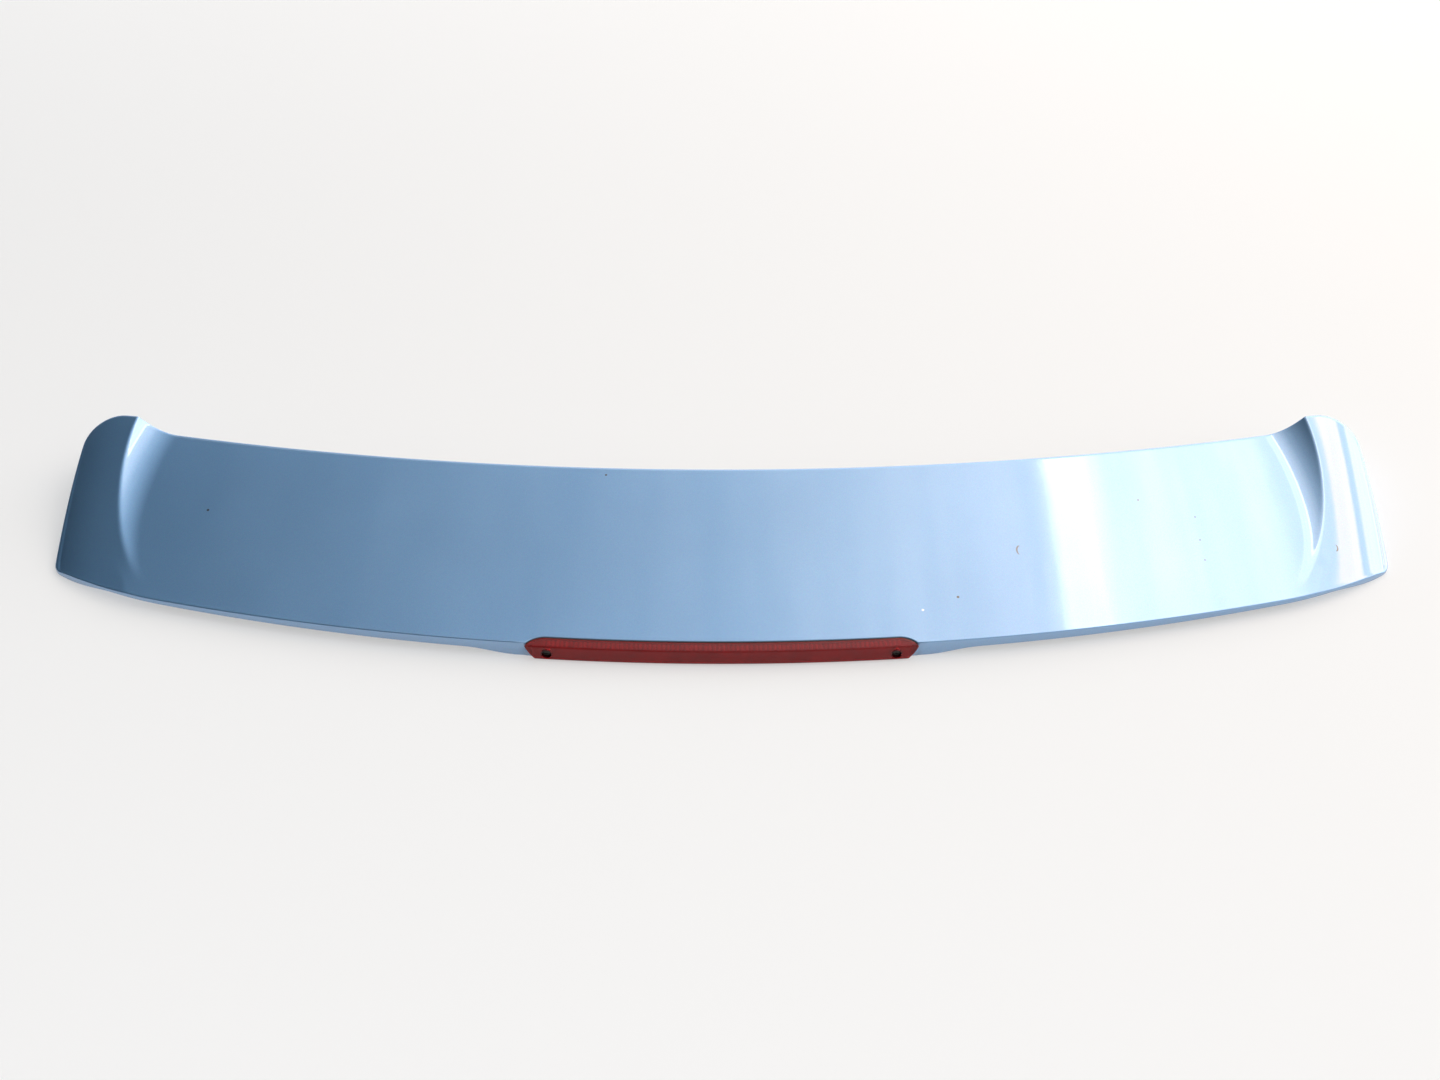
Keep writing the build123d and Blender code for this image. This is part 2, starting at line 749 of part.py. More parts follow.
grommet_y = rear_y(grommet_x) + grommet_back
with BuildPart() as inner_panel:
    add(tray_blank.part)
    with BuildPart(mode=Mode.SUBTRACT):
        with BuildSketch():
            add(
                tray_area(
                    tray_front_margin + tray_wall,
                    tray_side_x - tray_wall,
                    skin_wall + lip_clearance + tray_wall,
                )
            )
            add(well_area(well_wall), mode=Mode.SUBTRACT)
        extrude(amount=reach_up)
        add(above_tray(tray_wall), mode=Mode.INTERSECT)
    with BuildSketch():
        add(well_area(0))
    extrude(amount=reach_up, mode=Mode.SUBTRACT)
    add(flange.part)
    with Locations([(x, y, stud_seat) for x, y in stud_places]):
        Cylinder(boss_radius, boss_height, align=(Align.CENTER, Align.CENTER, Align.MIN))
        Cylinder(
            stud_neck_radius + stud_clearance,
            reach_down,
            mode=Mode.SUBTRACT,
        )
    with Locations([(x, y, stud_seat + stud_seat_wall) for x, y in stud_places]):
        Cylinder(
            stud_head_radius + stud_clearance,
            boss_height,
            align=(Align.CENTER, Align.CENTER, Align.MIN),
            mode=Mode.SUBTRACT,
        )
    with Locations((grommet_x, grommet_y)):
        Cylinder(grommet_hole_radius, reach_down, mode=Mode.SUBTRACT)
    with BuildSketch():
        window_front = housing_front + socket_length + socket_clearance
        add(lamp_band(socket_half_x + socket_clearance, window_front, -housing_front))
    extrude(amount=socket_top + socket_clearance, mode=Mode.SUBTRACT)
    for side in sides.values():
        wall = lamp_plane(side * lamp_screw_x, 0, lamp_screw_height)
        with BuildSketch(wall):
            Circle(lamp_screw_hole_radius)
        extrude(amount=-well_end_depth - well_wall, mode=Mode.SUBTRACT)
        with BuildSketch(wall.offset(-well_end_depth - well_wall)):
            Rectangle(2 * nut_window_x, 2 * lamp_screw_height + nut_height)
        extrude(amount=-nut_window_depth, mode=Mode.SUBTRACT)


# One section of the inner panel, from one joint to the next
def panel_section(low_x, high_x):
    with BuildPart() as section:
        add(inner_panel.part)
        with Locations(((low_x + high_x) / 2, 0, 0)):
            Box(high_x - low_x - panel_joint_gap, 2 * reach_y, 2 * reach_up, mode=Mode.INTERSECT)
    return section.part


# Studs that bolt the spoiler down, each through a foam washer
stud_foot = stud_seat - washer_height
with BuildPart() as mounting_studs:
    with Locations([(x, y, stud_foot - stud_thread_length) for x, y in stud_places]):
        Cylinder(stud_radius, stud_thread_length, align=(Align.CENTER, Align.CENTER, Align.MIN))
    chamfer(mounting_studs.faces().group_by(Axis.Z)[0].edges(), stud_tip_chamfer)
    with Locations([(x, y, stud_foot) for x, y in stud_places]):
        Cylinder(
            stud_neck_radius, washer_height + stud_seat_wall, align=(Align.CENTER, Align.CENTER, Align.MIN)
        )
    with Locations([(x, y, stud_seat + stud_seat_wall) for x, y in stud_places]):
        Cylinder(stud_head_radius, stud_head_height, align=(Align.CENTER, Align.CENTER, Align.MIN))


def stud_washer(place):
    with BuildPart() as washer:
        with BuildSketch(Plane((place[0], place[1], stud_foot))):
            Circle(washer_radius)
            Circle(stud_neck_radius + stud_clearance, mode=Mode.SUBTRACT)
        extrude(amount=washer_height)
    return washer.part


# Bracket bonded inside each ear, and the push-in clip that it holds
def ear_bracket(side):
    inner_x = half_width - skin_under - bracket_width
    with BuildPart() as bracket:
        with BuildSketch(Plane.XY.offset(bracket_flange_bottom)):
            add(plan_outline(skin_under))
            add(plan_outline(skin_under + bracket_wall), mode=Mode.SUBTRACT)
        extrude(amount=bracket_height + bracket_wall - bracket_flange_bottom)
        with BuildSketch(Plane.XY.offset(bracket_height)):
            add(plan_outline(skin_under))
        extrude(amount=bracket_wall)
        with Locations((side * (inner_x + reach_x / 2), clip_y, 0)):
            Box(reach_x, 2 * bracket_half_length, 2 * reach_up, mode=Mode.INTERSECT)
        with Locations((side * clip_x, clip_y, bracket_height)):
            Cylinder(clip_neck_radius + clip_clearance, reach_down, mode=Mode.SUBTRACT)
    return bracket.part


def ear_clip(side):
    head = bracket_height + bracket_wall
    barb = bracket_height - clip_clearance
    with BuildPart() as clip:
        with BuildSketch(Plane.XZ):
            with BuildLine():
                Polyline(
                    (0, head + clip_head_height),
                    (clip_head_radius, head + clip_head_height),
                    (clip_head_radius, head),
                    (clip_neck_radius, head),
                    (clip_neck_radius, barb),
                    (clip_shank_radius, barb - clip_barb_height),
                    (clip_tip_radius, bracket_height - clip_length),
                    (0, bracket_height - clip_length),
                    close=True,
                )
            make_face()
        revolve(axis=Axis.Z)
    return clip.part.moved(Location((side * clip_x, clip_y, 0)))


# Seal under the front edge
with BuildPart() as front_edge_seal:
    with BuildSketch():
        add(tray_area(seal_margin, half_width - seal_inset, skin_wall))
        add(
            tray_area(seal_margin + seal_width, half_width - seal_inset, skin_wall),
            mode=Mode.SUBTRACT,
        )
    extrude(amount=reach_up)
    add(under_layer(skin_under, skin_under + seal_height), mode=Mode.INTERSECT)


# Foam pad under the tray, on its sloping floor
def foam_pad(side):
    pad_y = rear_y(pad_x) + tray_flat_depth + pad_back
    with BuildPart() as pad:
        with BuildSketch():
            with Locations((side * pad_x, pad_y)):
                RectangleRounded(pad_length, pad_width, pad_height)
        extrude(amount=reach_up)
        add(above_tray(-pad_height), mode=Mode.INTERSECT)
        add(above_tray(-pad_gap), mode=Mode.SUBTRACT)
    return pad.part


# Rubber grommet in the tray's floor for the lamp's lead
grommet_low = tray_floor_height - grommet_clearance
grommet_high = tray_floor_height + tray_wall + grommet_clearance
with BuildPart() as cable_grommet:
    with Locations((grommet_x, grommet_y, grommet_low)):
        Cylinder(
            grommet_hole_radius - grommet_clearance,
            grommet_high - grommet_low,
            align=(Align.CENTER, Align.CENTER, Align.MIN),
        )
        Cylinder(
            grommet_flange_radius, grommet_flange, align=(Align.CENTER, Align.CENTER, Align.MAX)
        )
    with Locations((grommet_x, grommet_y, grommet_high)):
        Cylinder(
            grommet_flange_radius, grommet_flange, align=(Align.CENTER, Align.CENTER, Align.MIN)
        )
        Cylinder(grommet_bore_radius, reach_down, mode=Mode.SUBTRACT)

pieces = {
    "outer_skin": outer_skin.part,
    "inner_panel": panel_section(-panel_joint_x, panel_joint_x),
    "inner_panel_left": panel_section(-reach_x, -panel_joint_x),
    "inner_panel_right": panel_section(panel_joint_x, reach_x),
    "lamp_lens": lamp_lens.part,
    "lamp_gasket": lamp_gasket.part,
    "lamp_housing": lamp_housing.part,
    "lamp_board": lamp_board.part,
    "lamp_reflector": lamp_reflector.part,
    "lamp_screws": lamp_screws.part,
    "mounting_studs": mounting_studs.part,
    "front_edge_seal": front_edge_seal.part,
    "cable_grommet": cable_grommet.part,
}
for number, plane in enumerate(led_planes, 1):
    pieces[f"led_{number:02d}"] = led(plane)
for number, place in enumerate(stud_places, 1):
    pieces[f"stud_washer_{number}"] = stud_washer(place)
for name, side in sides.items():
    pieces[f"lamp_nut_{name}"] = lamp_nut(side)
    pieces[f"ear_bracket_{name}"] = ear_bracket(side)
    pieces[f"ear_clip_{name}"] = ear_clip(side)
    pieces[f"foam_pad_{name}"] = foam_pad(side)

os.makedirs("parts", exist_ok=True)
for name, piece in pieces.items():
    piece.label = name
    export_step(piece, f"parts/{name}.step")
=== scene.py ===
import bpy
import bmesh
import math
from mathutils import Matrix, Vector


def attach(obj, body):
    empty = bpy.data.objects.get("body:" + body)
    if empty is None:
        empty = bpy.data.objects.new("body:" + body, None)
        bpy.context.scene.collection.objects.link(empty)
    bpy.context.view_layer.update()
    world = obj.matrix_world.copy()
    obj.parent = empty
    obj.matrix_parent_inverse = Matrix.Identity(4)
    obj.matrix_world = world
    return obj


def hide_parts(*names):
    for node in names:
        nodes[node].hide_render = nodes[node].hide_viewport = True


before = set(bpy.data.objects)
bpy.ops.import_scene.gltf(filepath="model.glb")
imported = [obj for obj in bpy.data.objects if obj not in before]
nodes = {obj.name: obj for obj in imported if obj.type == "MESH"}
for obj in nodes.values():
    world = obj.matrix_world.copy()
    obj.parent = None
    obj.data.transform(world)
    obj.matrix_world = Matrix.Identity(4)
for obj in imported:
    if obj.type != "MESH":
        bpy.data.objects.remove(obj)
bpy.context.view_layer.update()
scene = bpy.context.scene
scene.view_settings.view_transform = "Standard"
mm = 0.001
tiny = 1e-6
cornerShare = 0.3   # place of the middle point of a small rounded corner
print("frame loaded", len(nodes), "nodes")


# small helpers shared by all pieces

def link(obj):
    scene.collection.objects.link(obj)
    return obj


def smooth(mesh):
    for poly in mesh.polygons:
        poly.use_smooth = True


def meshObject(name, points, faces, material):
    mesh = bpy.data.meshes.new(name)
    mesh.from_pydata([(x * mm, y * mm, z * mm) for x, y, z in points], [], faces)
    mesh.update()
    smooth(mesh)
    mesh.materials.append(material)
    return link(bpy.data.objects.new(name, mesh))


def newMaterial(name):
    mat = bpy.data.materials.new(name)
    mat.use_nodes = True
    tree = mat.node_tree
    return mat, tree, tree.nodes["Principled BSDF"]


def wire(tree, a, b):
    tree.links.new(a, b)


def setInputs(tree, node, inputs):
    # outputs of other nodes are wired to the sockets, plain values are set on them
    for key, value in inputs.items():
        if isinstance(value, bpy.types.NodeSocket):
            wire(tree, value, node.inputs[key])
        else:
            node.inputs[key].default_value = value


def addNode(tree, kind, inputs={}, **values):
    node = tree.nodes.new(kind)
    for key, value in values.items():
        setattr(node, key, value)
    setInputs(tree, node, inputs)
    return node


def objectCoords(tree):
    return addNode(tree, "ShaderNodeTexCoord").outputs["Object"]


def noiseNode(tree, coords, scale, detail, rough=0.5):
    inputs = {"Vector": coords, "Scale": scale, "Detail": detail, "Roughness": rough}
    return addNode(tree, "ShaderNodeTexNoise", inputs).outputs["Fac"]


def cellNode(tree, coords, scale):
    return addNode(tree, "ShaderNodeTexVoronoi", {"Vector": coords, "Scale": scale})


def rampNode(tree, source, stops):
    node = addNode(tree, "ShaderNodeValToRGB", {"Fac": source})
    elements = node.color_ramp.elements
    while len(elements) < len(stops):
        elements.new(0.5)
    for element, (place, colour) in zip(elements, stops):
        element.position = place
        element.color = (*colour, 1)
    return node.outputs["Color"]


def bumpNode(tree, height, strength, distance):
    inputs = {"Height": height, "Strength": strength, "Distance": distance}
    return addNode(tree, "ShaderNodeBump", inputs).outputs["Normal"]


def mapNode(tree, source, low, high, toLow=0.0, toHigh=1.0, kind="LINEAR"):
    inputs = {"Value": source, "From Min": low, "From Max": high, "To Min": toLow, "To Max": toHigh}
    return addNode(tree, "ShaderNodeMapRange", inputs, interpolation_type=kind).outputs["Result"]


def softStep(tree, source, low, high, toLow, toHigh):
    return mapNode(tree, source, low, high, toLow, toHigh, "SMOOTHSTEP")


def varyRough(tree, shader, noise, rough, kit):
    low, high = (rough + part for part in kit["roughRange"])
    wire(tree, mapNode(tree, noise, 0.0, 1.0, low, high), shader.inputs["Roughness"])


def mathNode(tree, operation, *values):
    node = addNode(tree, "ShaderNodeMath", dict(enumerate(values)), operation=operation)
    return node.outputs["Value"]


def vectorNode(tree, operation, *values):
    return addNode(tree, "ShaderNodeVectorMath", dict(enumerate(values)), operation=operation)


def plainMesh(obj):
    # the evaluated shape as a plain mesh, with the modifiers gone
    graph = bpy.context.evaluated_depsgraph_get()
    mesh = bpy.data.meshes.new_from_object(obj.evaluated_get(graph), depsgraph=graph)
    obj.modifiers.clear()
    obj.data = mesh
    return obj


def cutAway(obj, cutter):
    # takes the cutter's shape out of the piece, then drops the cutter
    step = obj.modifiers.new("cut", "BOOLEAN")
    step.operation = "DIFFERENCE"
    step.solver = "EXACT"
    step.object = cutter
    plainMesh(obj)
    bpy.data.objects.remove(cutter)


def turned(profile, steps):
    # points (radius, height) from one end of the axis to the other, or round a closed section, turned about Z
    points = []
    faces = []
    rings = []
    for r, z in profile:
        if rings and (r, z) == profile[0]:
            rings.append(rings[0])
            continue
        if r == 0:
            rings.append([len(points)] * steps)
            points.append((0, 0, z))
            continue
        rings.append([len(points) + i for i in range(steps)])
        for i in range(steps):
            turn = 2 * math.pi * i / steps
            points.append((r * math.cos(turn), r * math.sin(turn), z))
    for low, high in zip(rings, rings[1:]):
        for i in range(steps):
            j = (i + 1) % steps
            faces.append(tuple(dict.fromkeys((low[i], low[j], high[j], high[i]))))
    return points, faces


def tubeFaces(per, rows, start=0):
    # faces between rows of closed sections with the same number of points, both ends capped
    last = start + (rows - 1) * per
    faces = [tuple(range(start, start + per)), tuple(reversed(range(last, last + per)))]
    for row in range(start, last, per):
        for c in range(per):
            a = row + c
            b = row + (c + 1) % per
            faces.append((a, b, b + per, a + per))
    return faces


def repeatedObject(name, points, faces, seats, material):
    # one object out of a shape in millimetres, copied to each seat
    size = len(points)
    every = [tuple(seat @ Vector(p)) for seat in seats for p in points]
    shells = [tuple(v + size * i for v in face) for i in range(len(seats)) for face in faces]
    return meshObject(name, every, shells, material)


def sharpen(obj, degrees):
    obj.data.set_sharp_from_angle(angle=math.radians(degrees))


def newTree(name, sizes):
    # an empty geometry tree with named sizes and a finish
    tree = bpy.data.node_groups.new(name, "GeometryNodeTree")
    tree.interface.new_socket("Geometry", in_out="INPUT", socket_type="NodeSocketGeometry")
    for size in sizes:
        tree.interface.new_socket(size, in_out="INPUT", socket_type="NodeSocketFloat")
    tree.interface.new_socket("Finish", in_out="INPUT", socket_type="NodeSocketMaterial")
    tree.interface.new_socket("Geometry", in_out="OUTPUT", socket_type="NodeSocketGeometry")
    return tree, addNode(tree, "NodeGroupInput"), addNode(tree, "NodeGroupOutput")


def endTree(tree, geometry, entry, leave):
    # realize, shade and finish
    real = addNode(tree, "GeometryNodeRealizeInstances", {"Geometry": geometry})
    inputs = {"Geometry": real.outputs["Geometry"], "Material": entry.outputs["Finish"]}
    shade = addNode(tree, "GeometryNodeSetMaterial", inputs)
    wire(tree, shade.outputs["Geometry"], leave.inputs["Geometry"])


def runTree(obj, tree, values):
    step = obj.modifiers.new(tree.name, "NODES")
    step.node_group = tree
    for socket in tree.interface.items_tree:
        if socket.in_out == "INPUT" and socket.name in values:
            step[socket.identifier] = values[socket.name]
    return plainMesh(obj)


# camera at the photograph's height and distance
cameraKit = {
    "elevation": 44.0,
    "distance": 1900.0,
    "target": (-1.3, -7.8, 25.0),
    "lens": 54.83,
    "sensor": 36.0,
    "farthest": 50.0,
}


def makeCamera(kit):
    camera = bpy.data.cameras.new("photoCamera")
    camera.lens = kit["lens"]
    camera.sensor_width = kit["sensor"]
    camera.clip_end = kit["farthest"]
    obj = link(bpy.data.objects.new("photoCamera", camera))
    tilt = math.radians(kit["elevation"])
    tx, ty, tz = kit["target"]
    obj.location = (
        tx * mm,
        (ty - kit["distance"] * math.cos(tilt)) * mm,
        (tz + kit["distance"] * math.sin(tilt)) * mm,
    )
    obj.rotation_euler = (math.radians(90) - tilt, 0, 0)
    scene.camera = obj


makeCamera(cameraKit)

# painted skin: the surface rules of the part's source with softened edges, in millimetres
skin = {
    "halfWidth": 579.94,
    "sideRadius": 1000.0,
    "sideWidestY": -5.0,
    "rearY": -127.8,
    "rearRadius": 1944.5,
    "rearEndX": 480.0,
    "rearEndRadius": 315.0,
    "rearCorner": 14.0,
    "frontY": 60.9,
    "frontRadius": 2147.0,
    "frontCorner": 30.0,
    "wall": 3.0,
    "edgeHeight": 15.5,
    "slope": math.tan(math.radians(8.36)),
    "bowRadius": 2270.0,
    "crownRadius": 7500.0,
    "openX": 500.0,
    "earRise": 18.0,
    "earRiseEnd": 0.0,
    "earTipY": 123.0,
    "earFadeY": -63.0,
    "earFootX": 510.0,
    "earHook": 33.0,
    "hookPower": 6,
    "earLean": 21.5,
    "leanPower": 3,
    "earTransition": 40.0,
    "earTilt": 0.08,
    "earDrop": 6.0,
    "dropPower": 8,
    "earInnerX": 470.0,
    "creaseSoft": 0.9,
    "ridgeEndY": -54.0,
    "ridgeFade": 42.0,
    "cutHeight": 26.0,
    "cutX": 548.0,
    "lipBottom": 5.5,
    "lipBottomEnd": 6.5,
    "podHalf": 172.0,
    "podBlend": 43.0,
    "earLipX": 520.0,
    "earFootEdgeX": 568.0,
    "edgeRound": 1.3,
    "lampEdgeRound": 0.9,
    "lipRound": 0.5,
    # width of the rolled ear side at the rear and at the front, and its height against its width
    "sideRoll": (5.0, 2.2),
    "sideRollHeight": 0.55,
    "rollGain": 1.5,            # how fast the roll comes in round a corner
    "openBlend": (2.0, 6.0),    # where the open front turns into the ear's front wall: lead and width
    "lampBendX": 139.0,
    "midSteps": (19, 22, 36),   # to the bend, to the lamp's tip and to the ear
    "cornerSteps": 12,
    "endSteps": 64,
    "edgeSteps": 6,
    "lipCornerSteps": 8,
    "lipCornerOver": 0.2,
    "rows": 84,
}
# lamp lens wrapped round the trailing edge
lens = {
    "tipX": 164.4,
    "topEndX": 146.8,
    "lowEndX": 156.0,
    "endBulge": 1.2,
    "band": 6.0,
    "topZ": 16.4,
    "proud": 2.2,
    "lean": 2.4,
    "creaseZ": 13.8,
    "bottomZ": 1.5,
    "wall": 2.5,
    "gap": 1.0,
    "creaseRound": 1.7,
    "edgeSoft": 0.5,
    # near the pointed ends these take no more than a share of the section
    "softLimit": 0.3,
    "wallLimit": 0.7,
    "bendLimit": 0.5,
    "innerBend": 0.06,
    "flatSteps": 4,
    "creaseSteps": 6,
}


def ease(t):
    t = min(max(t, 0), 1)
    return t * t * (3 - 2 * t)


def panelZ(x, y):
    k = skin
    climb = k["slope"] * (y - k["rearY"])
    bow = (y * y - k["rearY"] ** 2) / (2 * k["bowRadius"])
    return k["edgeHeight"] + climb - bow - x * x / (2 * k["crownRadius"])


def skinZ(x, y):
    k = skin
    x = abs(x)
    base = panelZ(x, y)
    if x < k["earInnerX"]:
        return base
    place = (y - k["earFadeY"]) / (k["earTipY"] - k["earFadeY"])
    rise = k["earRiseEnd"] + (k["earRise"] - k["earRiseEnd"]) * (2 * place**2 - place**3)
    hook = k["earHook"] * (1 - place) ** k["hookPower"]
    foot = k["earFootX"] - hook - k["earLean"] * place ** k["leanPower"]
    out = (x - k["earInnerX"]) / (k["halfWidth"] - k["earInnerX"])
    top = rise - k["earTilt"] * (x - k["earFootX"]) - k["earDrop"] * out ** k["dropPower"]
    ramp = 0.0
    if x > foot:
        ramp = k["earRise"] / k["earTransition"] ** 2 * (x - foot) ** 2
    soft = k["creaseSoft"]
    gap = max(soft - abs(ramp - top), 0) / soft   # rounds the crease where both meet
    lift = min(ramp, top) - gap * gap * soft / 4
    if lift > 0:
        lift *= ease((y - k["ridgeEndY"]) / k["ridgeFade"])   # the ridge dies out before the trailing edge
    return base + lift


def frontLine(x):
    return skin["frontY"] + skin["frontRadius"] - math.sqrt(skin["frontRadius"] ** 2 - x * x)


def tipRadius(gap):
    # radius of the curve that takes the lamp's front edge back to the trailing edge
    dx = lens["tipX"] - lens["topEndX"]
    dy = lens["band"] + lens["proud"]
    return (dx * dx + dy * dy) / (2 * dy) + gap


def lampDepth(x, gap):
    # how far behind the trailing edge the lamp's front edge runs: below zero is ahead of it
    depth = -lens["band"] - gap
    dx = abs(x) - lens["topEndX"]
    if dx > 0:
        r = tipRadius(gap)
        depth += r - math.sqrt(max(r * r - dx * dx, 0))
    return depth


def behindEdge(x, out):
    # the trailing edge's curve, moved out behind it
    r = skin["rearRadius"] + out
    return skin["rearY"] + skin["rearRadius"] - math.sqrt(r * r - x * x)


def lampLow(x, gap):
    # height of the lamp's slanted end, seen from behind
    k = lens
    over = abs(x) - k["lowEndX"] - gap
    if over <= 0:
        return k["bottomZ"]
    run = k["tipX"] - k["lowEndX"]
    lift = 4 * k["endBulge"]
    root = max((run + lift) ** 2 - 4 * lift * over, 0)
    share = min((run + lift - math.sqrt(root)) / (2 * lift), 1)
    return k["bottomZ"] + (k["creaseZ"] - k["bottomZ"]) * share


def lipLow(x):
    # lower edge of the painted lip
    k = skin
    x = abs(x)
    low = k["lipBottom"] * ease((x - k["podHalf"]) / k["podBlend"])
    run = (x - k["podHalf"] - k["podBlend"]) / (k["earLipX"] - k["podHalf"] - k["podBlend"])
    low += (k["lipBottomEnd"] - k["lipBottom"]) * min(max(run, 0), 1)
    return low * (1 - ease((x - k["earLipX"]) / (k["earFootEdgeX"] - k["earLipX"])))


def spread(a, b, count):
    return [a + (b - a) * i / count for i in range(count)]


def circlesMeet(a, ra, b, rb):
    dx, dy = b[0] - a[0], b[1] - a[1]
    d = math.hypot(dx, dy)
    along = (ra * ra - rb * rb + d * d) / (2 * d)
    off = math.sqrt(ra * ra - along * along)
    midX, midY = a[0] + along * dx / d, a[1] + along * dy / d
    return [(midX - side * off * dy / d, midY + side * off * dx / d) for side in (-1, 1)]


def angleFrom(a, b):
    return math.atan2(b[1] - a[1], b[0] - a[0])


def onCircle(centre, r, a):
    return (centre[0] + r * math.cos(a), centre[1] + r * math.sin(a))


def skinOutline():
    # matching points along the rear and the front edge, left to right, in plan
    k = skin
    r = tipRadius(lens["gap"])
    cross = lens["topEndX"] + math.sqrt(r * r - (r - lens["band"] - lens["gap"]) ** 2)
    turn = k["rearEndX"] / k["rearRadius"]
    reach = k["rearRadius"] - k["rearEndRadius"]
    rearEnd = (turn * reach, k["rearY"] + k["rearRadius"] - math.sqrt(1 - turn * turn) * reach)
    frontMid = (0, k["frontY"] + k["frontRadius"])
    sideMid = (k["halfWidth"] - k["sideRadius"], k["sideWidestY"])
    corner = k["rearCorner"]
    meets = circlesMeet(rearEnd, k["rearEndRadius"] - corner, sideMid, k["sideRadius"] - corner)
    rearCorner = min(meets, key=lambda p: p[1])
    corner = k["frontCorner"]
    meets = circlesMeet(frontMid, k["frontRadius"] + corner, sideMid, k["sideRadius"] - corner)
    frontCorner = max(meets, key=lambda p: p[0])
    rearA = angleFrom(rearEnd, rearCorner)
    frontA = angleFrom(frontCorner, frontMid)
    lastRear = onCircle(rearCorner, k["rearCorner"], rearA)[0]
    lastFront = onCircle(frontCorner, k["frontCorner"], frontA)[0]

    def rearEdge(x):
        if x < cross - tiny:
            return behindEdge(x, lampDepth(x, lens["gap"]))
        if x < k["rearEndX"]:
            return behindEdge(x, 0)
        return rearEnd[1] - math.sqrt(k["rearEndRadius"] ** 2 - (x - rearEnd[0]) ** 2)

    ends = (0, k["lampBendX"], cross, k["earInnerX"])
    xs = [x for a, b, steps in zip(ends, ends[1:], k["midSteps"]) for x in spread(a, b, steps)]
    rear = [(x, rearEdge(x)) for x in xs]
    front = [(x, frontLine(x)) for x in xs]
    for i in range(k["endSteps"] + 1):
        t = i / k["endSteps"]
        x = k["earInnerX"] + (lastRear - k["earInnerX"]) * t
        rear.append((x, rearEdge(x)))
        x = k["earInnerX"] + (lastFront - k["earInnerX"]) * t
        front.append((x, frontLine(x)))
    for i in range(1, k["cornerSteps"] + 1):
        t = i / k["cornerSteps"]
        a = rearA + (angleFrom(sideMid, rearCorner) - rearA) * t
        rear.append(onCircle(rearCorner, k["rearCorner"], a))
        a = frontA + (angleFrom(sideMid, frontCorner) - frontA) * t
        front.append(onCircle(frontCorner, k["frontCorner"], a))
    rear = [(-x, y) for x, y in rear[:0:-1]] + rear
    front = [(-x, y) for x, y in front[:0:-1]] + front
    return rear, front, cross


